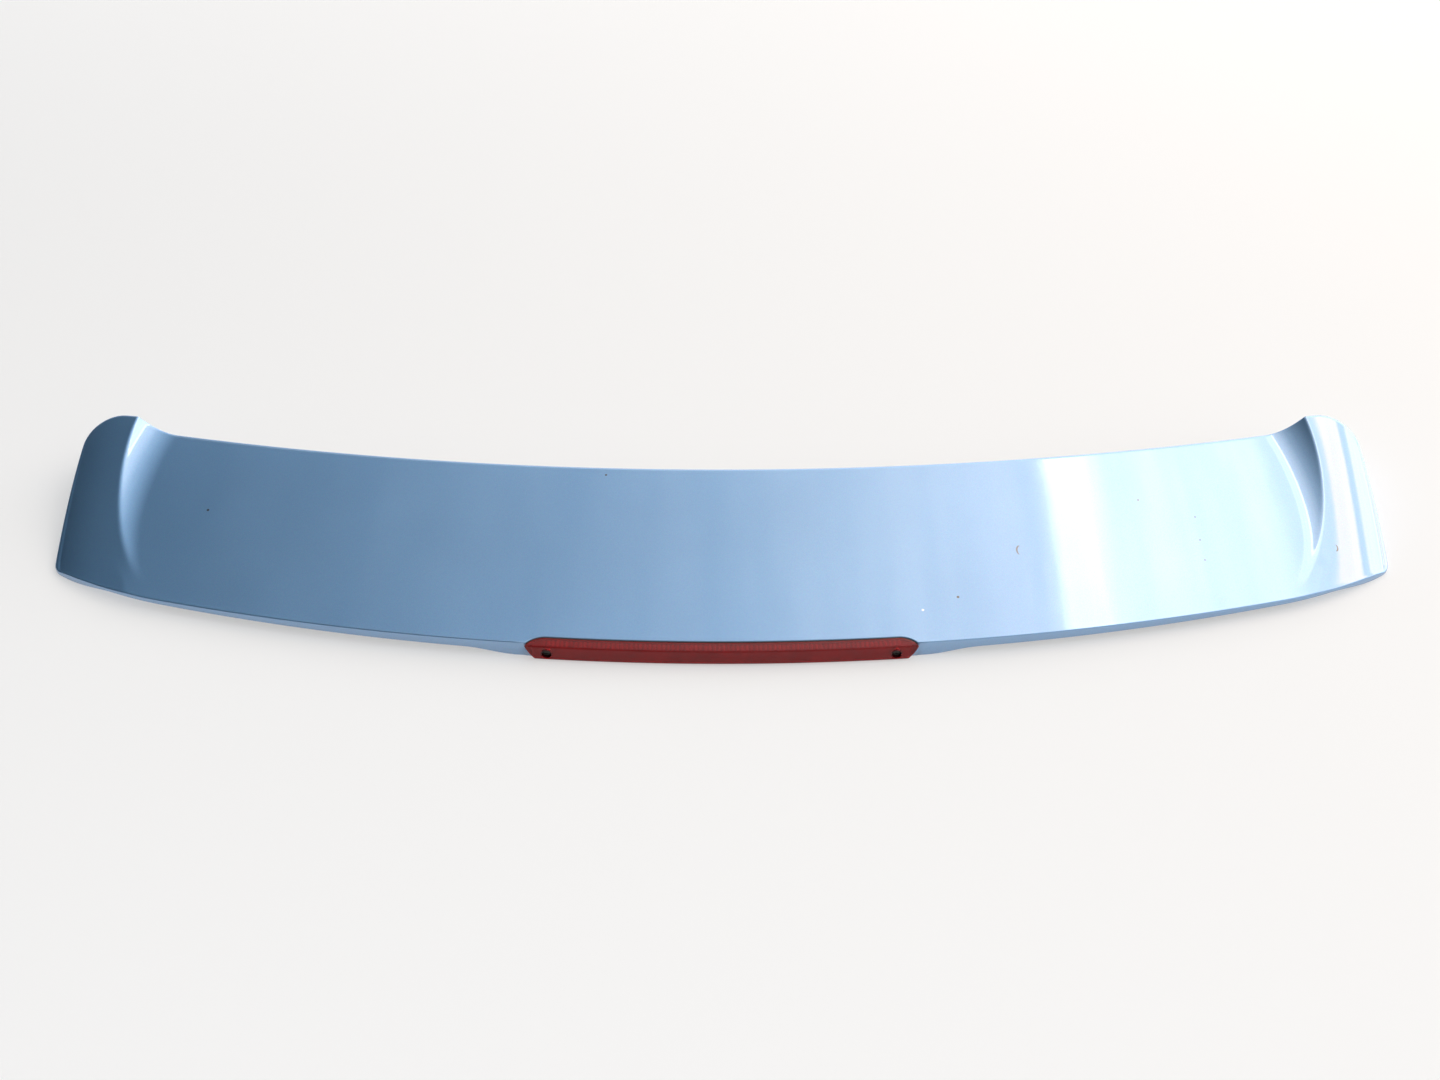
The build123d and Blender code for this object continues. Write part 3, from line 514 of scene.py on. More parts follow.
def skinMesh():
    k = skin
    rear, front, cross = skinOutline()
    n = len(rear) - 1
    m = k["rows"]
    ring = [(i, 0) for i in range(n)] + [(n, j) for j in range(m)]
    ring += [(i, m) for i in range(n, 0, -1)] + [(0, j) for j in range(m, 0, -1)]
    endSpan = k["cornerSteps"] + k["endSteps"]

    def between(i, j, a, b):
        # straight from the rear to the front edge, pushed out towards the curved sides
        t = j / m
        share = max((abs(i - n / 2) - n / 2) / endSpan + 1, 0) ** 2
        y = rear[n][1] + (front[n][1] - rear[n][1]) * t
        chord = rear[n][0] + (front[n][0] - rear[n][0]) * t
        arc = k["halfWidth"] - k["sideRadius"] + math.sqrt(k["sideRadius"] ** 2 - (y - k["sideWidestY"]) ** 2)
        push = share * (arc - chord) * (1 if i > n / 2 else -1)
        return (a[i][0] + (b[i][0] - a[i][0]) * t + push, a[i][1] + (b[i][1] - a[i][1]) * t)

    outline = [between(i, j, rear, front) for i, j in ring]
    count = len(ring)
    facing = []
    for s in range(count):
        (ax, ay), (bx, by) = outline[s - 1], outline[(s + 1) % count]
        size = math.hypot(bx - ax, by - ay)
        facing.append(((by - ay) / size, -(bx - ax) / size))

    def inset(amounts):
        place = {}
        for s, key in enumerate(ring):
            place[key] = tuple(outline[s][c] - facing[s][c] * amounts[s] for c in (0, 1))
        a = [place[(i, 0)] for i in range(n + 1)]
        b = [place[(i, m)] for i in range(n + 1)]
        return [[place.get((i, j)) or between(i, j, a, b) for j in range(m + 1)] for i in range(n + 1)]

    def rollShare(i):
        # none along the rear and front edges, all of it along the sides
        over = (abs(i - n / 2) - n / 2) / k["cornerSteps"] + 1
        return ease(k["rollGain"] * over)

    rounds = []
    drops = []
    lows = []
    lead, width = k["openBlend"]
    rearRoll, frontRoll = k["sideRoll"]
    for s, (i, j) in enumerate(ring):
        x, y = outline[s]
        edge = k["edgeRound"]
        top = skinZ(x, y)
        if j == 0 and abs(x) < cross - tiny:
            edge = k["lampEdgeRound"]
            low = top - k["wall"]
        elif j == 0:
            low = lipLow(x)
        elif j == m:
            wallLow = k["cutHeight"] * max((k["cutX"] - abs(x)) / (k["cutX"] - k["openX"]), 0)
            openLow = top - k["wall"]
            low = openLow + (wallLow - openLow) * ease((abs(x) - k["openX"] + lead) / width)
        else:
            low = 0.0
        share = rollShare(i)
        roll = rearRoll + (frontRoll - rearRoll) * j / m
        rounds.append(edge + (roll - edge) * share)
        drops.append(edge + (max(roll * k["sideRollHeight"], edge) - edge) * share)
        lows.append(min(low, top - k["wall"]))
    points = []
    faces = []

    def addGrid(grid, drop):
        ids = []
        for line in grid:
            ids.append([len(points) + j for j in range(m + 1)])
            points.extend([(x, y, skinZ(x, y) - drop) for x, y in line])
        return ids

    topId = addGrid(inset(rounds), 0)
    underId = addGrid(inset([k["wall"]] * count), k["wall"])
    for i in range(n):
        for j in range(m):
            faces.append((topId[i][j], topId[i + 1][j], topId[i + 1][j + 1], topId[i][j + 1]))
            faces.append((underId[i][j], underId[i][j + 1], underId[i + 1][j + 1], underId[i + 1][j]))
    loops = [[topId[i][j] for i, j in ring]]
    lipRound = k["lipRound"]

    def addLoop(rule):
        loop = []
        for s in range(count):
            out, z = rule(s)
            loop.append(len(points))
            points.append((outline[s][0] + facing[s][0] * out, outline[s][1] + facing[s][1] * out, z))
        loops.append(loop)

    topZ = [points[v][2] for v in loops[0]]
    for step in range(1, k["edgeSteps"] + 1):
        a = math.radians(90 * step / k["edgeSteps"])
        addLoop(lambda s: (-rounds[s] * (1 - math.sin(a)), topZ[s] - drops[s] * (1 - math.cos(a))))
    addLoop(lambda s: (0, lows[s] + lipRound))
    addLoop(lambda s: (-lipRound * cornerShare, lows[s] + lipRound * cornerShare))
    addLoop(lambda s: (-lipRound, lows[s]))
    addLoop(lambda s: (-k["wall"] + lipRound, lows[s]))
    loops.append([underId[i][j] for i, j in ring])
    for upper, lower in zip(loops, loops[1:]):
        for s in range(count):
            t = (s + 1) % count
            faces.append((upper[s], lower[s], lower[t], upper[t]))
    # small painted corners of the lip under the lamp's slanted ends
    first = lens["lowEndX"] + lens["gap"]
    steps = k["lipCornerSteps"]
    for side in (-1, 1):
        start = len(points)
        for i in range(steps + 1):
            x = first + (cross + k["lipCornerOver"] - first) * i / steps
            top = lampLow(x, lens["gap"])
            for out, z in ((0, 0), (0, top), (-k["wall"], top), (-k["wall"], 0)):
                points.append((side * x, behindEdge(x, out), z))
        faces += tubeFaces(4, steps + 1, start)
    return points, faces


def fixNormals(mesh):
    bm = bmesh.new()
    bm.from_mesh(mesh)
    bmesh.ops.recalc_face_normals(bm, faces=bm.faces)
    bm.to_mesh(mesh)
    bm.free()


# paint: light-blue metallic under clear coat, with fine flake, faint ripple, stone chips and specks
paintKit = {
    "colour": (0.150, 0.335, 0.595),
    "pale": (0.164, 0.358, 0.625),
    "metal": 0.65,
    "rough": 0.37,
    "coatRough": 0.025,
    "coatIor": 2.2,
    # scale and detail of each noise, and how much it does
    "cloud": (9.0, 3.0),
    "cloudStops": (0.35, 0.7),
    "haze": (26.0, 4.0),
    "roughRange": (-0.04, 0.05),
    "peel": (140.0, 2.0),
    "peelBump": (0.03, 0.0004),
    "flakeScale": 2600.0,
    "flakeShare": 0.16,
    "flakeBump": (0.05, 0.0002),
    "spotFade": 0.7,            # where a spot starts to fade, as a share of its size
    "biteSlant": -0.3,          # sideways share of a nick's bite
    # place in mm, size in mm, tone
    "chips": [
        (-450.2, 26.8, 1.4, 0.03),
        (-101.7, 54.4, 1.2, 0.04),
        (199.8, -75.0, 1.4, 0.05),
        (169.4, -88.6, 1.2, 0.9),
        (365.4, 33.7, 1.1, 0.08),
        (413.5, 17.1, 0.9, 0.02),
        (414.5, -8.0, 0.9, 0.02),
        (415.9, -29.3, 0.9, 0.03),
    ],
    # curved nicks: place in mm, radii in mm, how far the bite out of the disc is moved, tone
    "nicks": [
        (255.6, -25.0, 3.0, 5.5, 1.3, 0.10),
        (533.2, -10.4, 2.4, 4.0, -1.1, 0.05),
    ],
}


def spotMask(tree, coords, x, y, wide, tall):
    # one inside a small oval seen from above, fading to nothing at its rim
    scale = (1 / (wide * mm), 1 / (tall * mm), 0)
    place = vectorNode(tree, "MULTIPLY_ADD", coords, scale, (-x / wide, -y / tall, 0))
    length = vectorNode(tree, "LENGTH", place.outputs["Vector"])
    return softStep(tree, length.outputs["Value"], paintKit["spotFade"], 1.0, 1.0, 0.0)


def makePaint(kit):
    mat, tree, shader = newMaterial("skinPaint")
    coords = objectCoords(tree)
    tints = (kit["colour"], kit["pale"])
    shade = rampNode(tree, noiseNode(tree, coords, *kit["cloud"]), list(zip(kit["cloudStops"], tints)))
    flake = cellNode(tree, coords, kit["flakeScale"])
    flakeMix = addNode(tree, "ShaderNodeMix", data_type="RGBA", blend_type="SOFT_LIGHT")
    flakeMix.inputs["Factor"].default_value = kit["flakeShare"]
    wire(tree, shade, flakeMix.inputs["A"])
    wire(tree, flake.outputs["Color"], flakeMix.inputs["B"])
    colour = flakeMix.outputs["Result"]
    marks = [(spotMask(tree, coords, x, y, size, size), tone) for x, y, size, tone in kit["chips"]]
    for x, y, wide, tall, bite, tone in kit["nicks"]:
        disc = spotMask(tree, coords, x, y, wide, tall)
        moved = spotMask(tree, coords, x + bite, y + kit["biteSlant"] * bite, wide, tall)
        marks.append((mathNode(tree, "SUBTRACT", disc, moved), tone))
    for mask, tone in marks:
        mix = addNode(tree, "ShaderNodeMix", data_type="RGBA")
        wire(tree, mask, mix.inputs["Factor"])
        wire(tree, colour, mix.inputs["A"])
        mix.inputs["B"].default_value = (tone, tone, tone, 1)
        colour = mix.outputs["Result"]
    peel = noiseNode(tree, coords, *kit["peel"])
    setInputs(tree, shader, {
        "Base Color": colour,
        "Metallic": kit["metal"],
        "Normal": bumpNode(tree, flake.outputs["Distance"], *kit["flakeBump"]),
        "Coat Weight": 1.0,
        "Coat Roughness": kit["coatRough"],
        "Coat IOR": kit["coatIor"],
        "Coat Normal": bumpNode(tree, peel, *kit["peelBump"]),
    })
    varyRough(tree, shader, noiseNode(tree, coords, *kit["haze"]), kit["rough"], kit)
    return mat


paint = makePaint(paintKit)
points, faces = skinMesh()
outerSkin = meshObject("outerSkin", points, faces, paint)
fixNormals(outerSkin.data)
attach(outerSkin, "root")
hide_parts("outer_skin")
print("outer skin", len(faces), "faces")


# finishes for the other pieces: noise, tones against the colour and spread of the roughness
plastic = {
    "noise": (30.0, 4.0),
    "stops": (0.3, 0.7),
    "tones": (0.82, 1.25),
    "roughRange": (-0.08, 0.08),
    "grainDepth": 0.0003,
}
metal = {
    "noise": (220.0, 5.0),
    "stops": (0.35, 0.65),
    "tones": (0.7, 1.0),
    "roughRange": (-0.08, 0.12),
}


def tintedFinish(name, kit, colour):
    # base colour between two tones of one colour, by a noise that comes back for the roughness
    mat, tree, shader = newMaterial(name)
    noise = noiseNode(tree, objectCoords(tree), *kit["noise"])
    tints = [tuple(min(c * tone, 1) for c in colour) for tone in kit["tones"]]
    wire(tree, rampNode(tree, noise, list(zip(kit["stops"], tints))), shader.inputs["Base Color"])
    return mat, tree, shader, noise


def grainPlastic(name, colour, rough, grain, strength):
    mat, tree, shader, noise = tintedFinish(name, plastic, colour)
    cells = cellNode(tree, objectCoords(tree), grain)
    bump = bumpNode(tree, cells.outputs["Distance"], strength, plastic["grainDepth"])
    wire(tree, bump, shader.inputs["Normal"])
    varyRough(tree, shader, noise, rough, plastic)
    return mat


def platedMetal(name, colour, rough):
    mat, tree, shader, noise = tintedFinish(name, metal, colour)
    shader.inputs["Metallic"].default_value = 1.0
    varyRough(tree, shader, noise, rough, metal)
    return mat


panelBlack = grainPlastic("panelBlack", (0.030, 0.031, 0.033), 0.52, 900, 0.35)
housingGrey = grainPlastic("housingGrey", (0.10, 0.10, 0.105), 0.5, 700, 0.2)
boardGreen = grainPlastic("boardGreen", (0.02, 0.12, 0.06), 0.4, 400, 0.1)
foamBlack = grainPlastic("foamBlack", (0.028, 0.028, 0.030), 0.9, 1400, 0.9)
rubberBlack = grainPlastic("rubberBlack", (0.018, 0.018, 0.019), 0.62, 600, 0.2)
clipNylon = grainPlastic("clipNylon", (0.74, 0.72, 0.66), 0.45, 500, 0.12)
studZinc = platedMetal("studZinc", (0.62, 0.60, 0.54), 0.34)
screwSteel = platedMetal("screwSteel", (0.060, 0.054, 0.050), 0.42)
reflectorSilver = platedMetal("reflectorSilver", (0.80, 0.80, 0.82), 0.18)


# lens: clear red plastic, with a fluted red strip under its top band
lensKit = {
    "colour": (0.66, 0.010, 0.016),
    "noise": (60.0, 5.0),
    "stops": (0.3, 0.75),
    "tones": (0.85, 1.0),
    "rough": 0.0,
    "roughRange": (0.0, 0.05),
    "clear": 0.8,
    "ior": 1.41,
    "stations": 46,
    "tipStations": 22,
    "tipEase": 1.7,
    "tipEnd": 0.05,
}
# the red pieces behind it: dark and light colour, noise, stops and roughness
opticKit = {
    "opticRed": ((0.30, 0.006, 0.008), (0.50, 0.010, 0.014), (90.0, 3.0), (0.3, 0.6), 0.25),
    # the flute ribs are a lighter copy of the strip's red: painted highlight along the flutes
    "fluteHighlightRed": ((0.70, 0.03, 0.035), (0.85, 0.06, 0.065), (90.0, 3.0), (0.3, 0.6), 0.25),
    "towerRed": ((0.045, 0.003, 0.004), (0.090, 0.006, 0.008), (300.0, 3.0), (0.3, 0.7), 0.35),
}


def makeLensRed(kit):
    mat, tree, shader, noise = tintedFinish("lensRed", kit, kit["colour"])
    setInputs(tree, shader, {"Transmission Weight": kit["clear"], "IOR": kit["ior"]})
    varyRough(tree, shader, noise, kit["rough"], kit)
    return mat


def makeOpticRed(name):
    dark, light, noise, stops, rough = opticKit[name]
    mat, tree, shader = newMaterial(name)
    tone = noiseNode(tree, objectCoords(tree), *noise)
    colour = rampNode(tree, tone, list(zip(stops, (dark, light))))
    setInputs(tree, shader, {"Base Color": colour, "Roughness": rough})
    return mat


# how steeply the lens's top band falls towards the rear
bandFall = (lens["topZ"] - lens["creaseZ"]) / (lens["proud"] + lens["band"])


def bandTop(d):
    # height of the lens's top band at a depth behind the trailing edge
    return lens["topZ"] - bandFall * (d + lens["band"])


def bandRear(z):
    # depth of the lens's rear band at a height
    return lens["proud"] + lens["lean"] * (lens["creaseZ"] - z) / (lens["creaseZ"] - lens["bottomZ"])


def lensSection(x):
    # depth and height along the shell's section: outside from the front rim, then inside back to it
    k = lens
    front, low = lampDepth(x, 0), lampLow(x, 0)
    width, tall = k["proud"] - front, k["creaseZ"] - low
    soft = min(k["edgeSoft"], width * k["softLimit"])
    softLow = min(k["edgeSoft"], tall * k["softLimit"])
    wall = min(k["wall"], width * k["wallLimit"], tall * k["wallLimit"])
    topFacing = math.atan2(k["proud"] + k["band"], k["topZ"] - k["creaseZ"])
    rearFacing = math.atan2(k["lean"], k["creaseZ"] - k["bottomZ"])
    turn = topFacing - rearFacing
    bend = min(k["creaseRound"], width * k["bendLimit"], tall * k["bendLimit"])
    reach = bend * math.tan(turn / 2)
    start = k["proud"] - reach * math.sin(topFacing)
    end = k["creaseZ"] - reach * math.cos(rearFacing)
    mid = (start - bend * math.cos(topFacing), bandTop(start) - bend * math.sin(topFacing))
    rim = bandTop(front) - soft * cornerShare
    outer = [(front, bandTop(front) - soft), (front + soft * cornerShare, rim)]
    inner = [(front, bandTop(front) - soft - wall), (front + soft * cornerShare, rim - wall)]
    corner = (k["proud"] - wall, bandTop(k["proud"] - wall) - wall)
    small = wall * k["innerBend"]
    flat = k["flatSteps"]
    for i in range(flat):
        d = front + soft + (start - front - soft) * i / flat
        outer.append((d, bandTop(d)))
        d = front + soft + (corner[0] - small - front - soft) * i / flat
        inner.append((d, bandTop(d) - wall))
    for i in range(k["creaseSteps"] + 1):
        a = topFacing - turn * i / k["creaseSteps"]
        outer.append((mid[0] + bend * math.cos(a), mid[1] + bend * math.sin(a)))
        inner.append((corner[0] + small * (math.cos(a) - 1), corner[1] + small * (math.sin(a) - 1)))
    innerEnd = inner[-1][1]
    for i in range(1, flat + 1):
        z = end + (low + softLow - end) * i / flat
        outer.append((bandRear(z), z))
        z = innerEnd + (low + softLow - innerEnd) * i / flat
        inner.append((bandRear(z) - wall, z))
    step = softLow * cornerShare
    outer += [(bandRear(low) - step, low + step), (bandRear(low) - softLow, low)]
    inner += [(bandRear(low) - wall, low + step), (bandRear(low) - wall, low)]
    return outer + inner[::-1]


def lensMesh(kit):
    k = lens
    xs = spread(0, k["topEndX"], kit["stations"])
    run = k["tipX"] - kit["tipEnd"] - k["topEndX"]
    for i in range(kit["tipStations"] + 1):
        xs.append(k["topEndX"] + run * (1 - (1 - i / kit["tipStations"]) ** kit["tipEase"]))
    xs = [-x for x in xs[:0:-1]] + xs
    points = [(x, behindEdge(x, d), z) for x in xs for d, z in lensSection(x)]
    return points, tubeFaces(len(points) // len(xs), len(xs))


def lampFrame(x, out, z):
    # frame on the lamp with its Z axis pointing away from the trailing edge
    r = skin["rearRadius"] + out
    away = Vector((x / r, -math.sqrt(1 - (x / r) ** 2), 0))
    along = Vector((-away.y, away.x, 0))
    up = Vector((0, 0, 1))
    place = Vector((x, behindEdge(x, out), z))
    return Matrix((
        (along.x, up.x, away.x, place.x),
        (along.y, up.y, away.y, place.y),
        (along.z, up.z, away.z, place.z),
        (0, 0, 0, 1),
    ))


# the two lamp screws: pan head with a cross recess, sunk in a tower of the lens
screw = {
    "x": 146.0,
    "z": 6.6,
    "sunk": 3.0,
    "tower": 4.6,
    "recess": 4.1,
    "hole": 2.3,
    "head": 3.4,
    "headHeight": 2.2,
    "shank": 1.9,
    "length": 18.0,
    "pitch": 1.3,
    "slot": (4.2, 0.95),
    "slotDepth": 1.3,
    "slotOver": 1.0,
    "slotTaper": (0.55, 1.2),   # length of the recess at its floor and over the head, against its own
    "tip": (0.5, 0.6, 2.2),     # share of the core and height where the point is blunted, and its length
    "rimSoft": 0.15,
    "headSide": 0.45,           # share of the head's height that is upright
    "domeSteps": 6,
    "threadShort": 3.0,
    "towerGap": 0.04,
    "towerFloor": 1.0,
    "cutter": (-8.0, 4.0),
    "steps": 40,
    "sharp": 32,
}
screwFace = bandRear(screw["z"])
screwFrames = [lampFrame(side * screw["x"], screwFace, screw["z"]) for side in (-1, 1)]


def towerHole(seat):
    # round cutter through the lens for one screw tower
    r = screw["tower"]
    low, high = screw["cutter"]
    points, faces = turned([(0, low), (r, low), (r, high), (0, high)], screw["steps"])
    return repeatedObject("towerHole", points, faces, [seat], lensRed)


def makeTowers(kit):
    hole, recess, floor = kit["hole"], kit["recess"], -kit["sunk"]
    top, side = -kit["towerGap"], kit["tower"] - kit["towerGap"]
    low = floor - kit["towerFloor"]
    section = [(hole, floor), (recess, floor), (recess, top), (side, top), (side, low), (hole, low)]
    points, faces = turned(section + section[:1], kit["steps"])
    return repeatedObject("lensTowers", points, faces, screwFrames, towerRed)


# flutes: ribs across the top band, on a strip that turns down behind the rear band; the ribs' lighter red is
# a painted highlight
flutes = {
    "pitch": 3.85,
    "halfX": 148.2,
    "ribWidth": 2.3,
    "ribHeight": 0.8,
    "reach": 4.9,
    "clear": 0.12,
    "strip": 0.6,
    "endX": 158.0,
    "stations": 90,
    "pathSteps": 80,
    "ribSides": 12,
}
lensSharp = 30
fluteSharp = 40


def stripMesh(kit):
    under = lens["wall"] + kit["clear"]
    thick = kit["strip"]
    bend = lens["proud"] - under
    high = bandTop(bend) - under - kit["ribHeight"]
    points = []
    for i in range(kit["stations"] + 1):
        x = kit["endX"] * (2 * i / kit["stations"] - 1)
        front = lampDepth(x, 0) + kit["clear"]
        rim = bandTop(front) - under - kit["ribHeight"]
        low = lampLow(x, 0) + kit["clear"]
        foot = bandRear(low) - under
        outer = [(front, rim), (bend, high), (foot, low)]
        inner = [(front, rim - thick), (bend - thick, high - thick), (foot - thick, low)]
        points += [(x, behindEdge(x, d), z) for d, z in outer + inner[::-1]]
    rows = kit["stations"] + 1
    return points, tubeFaces(len(points) // rows, rows)


def ribTree():
    tree, entry, leave = newTree("fluteRibs", ("Pitch", "Width", "Height", "Length", "Tilt"))
    sizes = entry.outputs
    path = addNode(tree, "GeometryNodeMeshToCurve", {"Mesh": sizes["Geometry"]})
    inputs = {"Curve": path.outputs["Curve"], "Length": sizes["Pitch"]}
    marks = addNode(tree, "GeometryNodeCurveToPoints", inputs, mode="LENGTH")
    # a rod one unit wide and long, laid down, scaled and leant
    inputs = {"Vertices": flutes["ribSides"], "Radius": 0.5, "Depth": 1.0}
    rod = addNode(tree, "GeometryNodeMeshCylinder", inputs)
    inputs = {"Geometry": rod.outputs["Mesh"], "Rotation": (math.radians(90), 0, 0)}
    lay = addNode(tree, "GeometryNodeTransform", inputs)
    inputs = {"X": sizes["Width"], "Y": sizes["Length"], "Z": sizes["Height"]}
    size = addNode(tree, "ShaderNodeCombineXYZ", inputs)
    lean = addNode(tree, "ShaderNodeCombineXYZ", {"X": sizes["Tilt"]})
    rib = addNode(tree, "GeometryNodeTransform", {
        "Geometry": lay.outputs["Geometry"],
        "Scale": size.outputs["Vector"],
        "Rotation": lean.outputs["Vector"],
    })
    inputs = {"Vector": marks.outputs["Tangent"]}
    turn = addNode(tree, "FunctionNodeAlignRotationToVector", inputs, axis="X")
    row = addNode(tree, "GeometryNodeInstanceOnPoints", {
        "Points": marks.outputs["Points"],
        "Instance": rib.outputs["Geometry"],
        "Rotation": turn.outputs["Rotation"],
    })
    endTree(tree, row.outputs["Instances"], entry, leave)
    return tree


def ribPath(kit):
    # the line along which the ribs stand, in metres
    d = kit["clear"] - lens["band"] + kit["reach"] / 2
    z = bandTop(d) - lens["wall"] - kit["clear"] - kit["ribHeight"]
    count = kit["pathSteps"]
    xs = [kit["halfX"] * (2 * i / count - 1) for i in range(count + 1)]
    mesh = bpy.data.meshes.new("lensFlutes")
    mesh.from_pydata([(x * mm, behindEdge(x, d) * mm, z * mm) for x in xs],
                     [(i, i + 1) for i in range(count)], [])
    return mesh


def makeFlutes(kit):
    obj = link(bpy.data.objects.new("lensFlutes", ribPath(kit)))
    return runTree(obj, ribTree(), {
        "Pitch": kit["pitch"] * mm,
        "Width": kit["ribWidth"] * mm,
        "Height": 2 * kit["ribHeight"] * mm,
        "Length": kit["reach"] * mm,
        "Tilt": math.atan(bandFall),
        "Finish": fluteHighlightRed,
    })


# threads: depth of a tooth against the pitch, steps to a turn, corners of the tooth
threadKit = {"depth": 0.45, "steps": 20, "corners": 4}


def threadTree():
    tree, entry, leave = newTree("screwThread", ("Radius", "Pitch", "Length"))
    sizes = entry.outputs
    tooth = mathNode(tree, "MULTIPLY", sizes["Pitch"], threadKit["depth"])
    middle = mathNode(tree, "SUBTRACT", sizes["Radius"], tooth)
    coil = addNode(tree, "GeometryNodeCurveSpiral", {
        "Resolution": threadKit["steps"],
        "Rotations": mathNode(tree, "DIVIDE", sizes["Length"], sizes["Pitch"]),
        "Start Radius": middle,
        "End Radius": middle,
        "Height": sizes["Length"],
    })
    inputs = {"Resolution": threadKit["corners"], "Radius": tooth}
    section = addNode(tree, "GeometryNodeCurvePrimitiveCircle", inputs)
    sweep = addNode(tree, "GeometryNodeCurveToMesh", {
        "Curve": coil.outputs["Curve"],
        "Profile Curve": section.outputs["Curve"],
        "Fill Caps": True,
    })
    endTree(tree, sweep.outputs["Mesh"], entry, leave)
    return tree


def addThread(points, faces, radius, pitch, length, low, finish):
    # winds a thread up from a height and adds its points and faces, in millimetres
    obj = link(bpy.data.objects.new("thread", bpy.data.meshes.new("thread")))
    sizes = {"Radius": radius * mm, "Pitch": pitch * mm, "Length": length * mm}
    runTree(obj, threadRule, {**sizes, "Finish": finish})
    start = len(points)
    points += [(x, y, z + low) for x, y, z in (v.co / mm for v in obj.data.vertices)]
    faces += [tuple(v + start for v in f.vertices) for f in obj.data.polygons]
    bpy.data.objects.remove(obj)


def crossCutter(kit, turn):
    long, wide = (side / 2 for side in kit["slot"])
    heights = (kit["headHeight"] - kit["slotDepth"], kit["headHeight"] + kit["slotOver"])
    points = []
    for z, share in zip(heights, kit["slotTaper"]):
        for sx, sy in ((-1, -1), (1, -1), (1, 1), (-1, 1)):
            x, y = sx * long * share, sy * wide
            points.append((y, x, z) if turn else (x, y, z))
    faces = [(3, 2, 1, 0), (4, 5, 6, 7), (0, 1, 5, 4), (1, 2, 6, 5), (2, 3, 7, 6), (3, 0, 4, 7)]
    cutter = meshObject("crossCutter", points, faces, screwSteel)
    fixNormals(cutter.data)
    return cutter


def makeScrews(kit):
    head, high, side = kit["head"], kit["headHeight"], kit["headSide"]
    core = kit["shank"] - threadKit["depth"] * kit["pitch"]
    low = -kit["length"]
    blunt, bluntRise, tipLength = kit["tip"]
    profile = [(0, low), (core * blunt, low + bluntRise), (core, low + tipLength), (core, 0),
               (head - kit["rimSoft"], 0), (head, kit["rimSoft"]), (head, high * side)]
    steps = kit["domeSteps"]
    for i in range(1, steps + 1):
        a = math.radians(90 * i / steps)
        profile.append((head * math.cos(a) if i < steps else 0, high * (side + (1 - side) * math.sin(a))))
    points, faces = turned(profile, kit["steps"])
    one = meshObject("lampScrew", points, faces, screwSteel)
    fixNormals(one.data)
    for turn in (False, True):
        cutAway(one, crossCutter(kit, turn))
    points = [tuple(v.co / mm) for v in one.data.vertices]
    faces = [tuple(f.vertices) for f in one.data.polygons]
    bpy.data.objects.remove(one)
    threadLength = kit["length"] - kit["threadShort"]
    addThread(points, faces, kit["shank"], kit["pitch"], threadLength, low + tipLength, screwSteel)
    seats = [seat @ Matrix.Translation((0, 0, -kit["sunk"])) for seat in screwFrames]
    obj = repeatedObject("lampScrews", points, faces, seats, screwSteel)
    sharpen(obj, kit["sharp"])
    return obj


def lampShell(name, shape, material):
    # a closed shell with holes for the two screw towers
    obj = meshObject(name, *shape, material)
    fixNormals(obj.data)
    for seat in screwFrames:
        cutAway(obj, towerHole(seat))
    sharpen(obj, lensSharp)
    return obj


lensRed = makeLensRed(lensKit)
opticRed = makeOpticRed("opticRed")
# lighter red for the flute ribs, a painted highlight against the darker strip
fluteHighlightRed = makeOpticRed("fluteHighlightRed")
towerRed = makeOpticRed("towerRed")
threadRule = threadTree()
lampLens = lampShell("lampLens", lensMesh(lensKit), lensRed)
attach(lampLens, "root")
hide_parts("lamp_lens")
print("lens", len(lampLens.data.polygons), "faces")

lensStrip = lampShell("lensStrip", stripMesh(flutes), opticRed)
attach(lensStrip, "root")
lensFlutes = makeFlutes(flutes)
smooth(lensFlutes.data)
sharpen(lensFlutes, fluteSharp)
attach(lensFlutes, "root")
print("flutes", len(lensFlutes.data.polygons), "faces")

lensTowers = makeTowers(screw)
fixNormals(lensTowers.data)
sharpen(lensTowers, lensSharp)
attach(lensTowers, "root")
lampScrews = makeScrews(screw)
fixNormals(lampScrews.data)
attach(lampScrews, "root")
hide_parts("lamp_screws")
print("screws", len(lampScrews.data.polygons), "faces")

# four studs that hold the spoiler to the tailgate: flat head, neck and a rolled thread
stud = {
    "places": [(-150.0, 25.0), (150.0, 25.0), (-400.0, 57.0), (400.0, 57.0)],
    "seat": 18.5,
    "seatWall": 4.0,
    "washer": 3.5,
    "head": 8.0,
    "headHeight": 2.0,
    "neck": 4.0,
    "thread": 3.0,
    "threadLength": 13.0,
    "pitch": 1.0,
    "chamfer": 0.8,
    "soft": 0.4,
    "steps": 40,
    "sharp": 32,
}


def makeStuds(kit):
    foot = kit["seat"] - kit["washer"]
    low = foot - kit["threadLength"]
    under = kit["seat"] + kit["seatWall"]
    top = under + kit["headHeight"]
    core = kit["thread"] - threadKit["depth"] * kit["pitch"]
    head, neck, soft, chamfer = (kit[key] for key in ("head", "neck", "soft", "chamfer"))
    points, faces = turned([
        (0, low), (core - chamfer, low), (core, low + chamfer), (core, foot),
        (neck - soft, foot), (neck, foot + soft), (neck, under),
        (head - soft, under), (head, under + soft), (head, top - soft), (head - soft, top), (0, top),
    ], kit["steps"])
    threadLength = kit["threadLength"] - 2 * chamfer
    addThread(points, faces, kit["thread"], kit["pitch"], threadLength, low + chamfer, studZinc)
    seats = [Matrix.Translation((x, y, 0)) for x, y in kit["places"]]
    obj = repeatedObject("mountingStuds", points, faces, seats, studZinc)
    fixNormals(obj.data)
    sharpen(obj, kit["sharp"])
    return obj


mountingStuds = makeStuds(stud)
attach(mountingStuds, "root")
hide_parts("mounting_studs")
print("studs", len(mountingStuds.data.polygons), "faces")

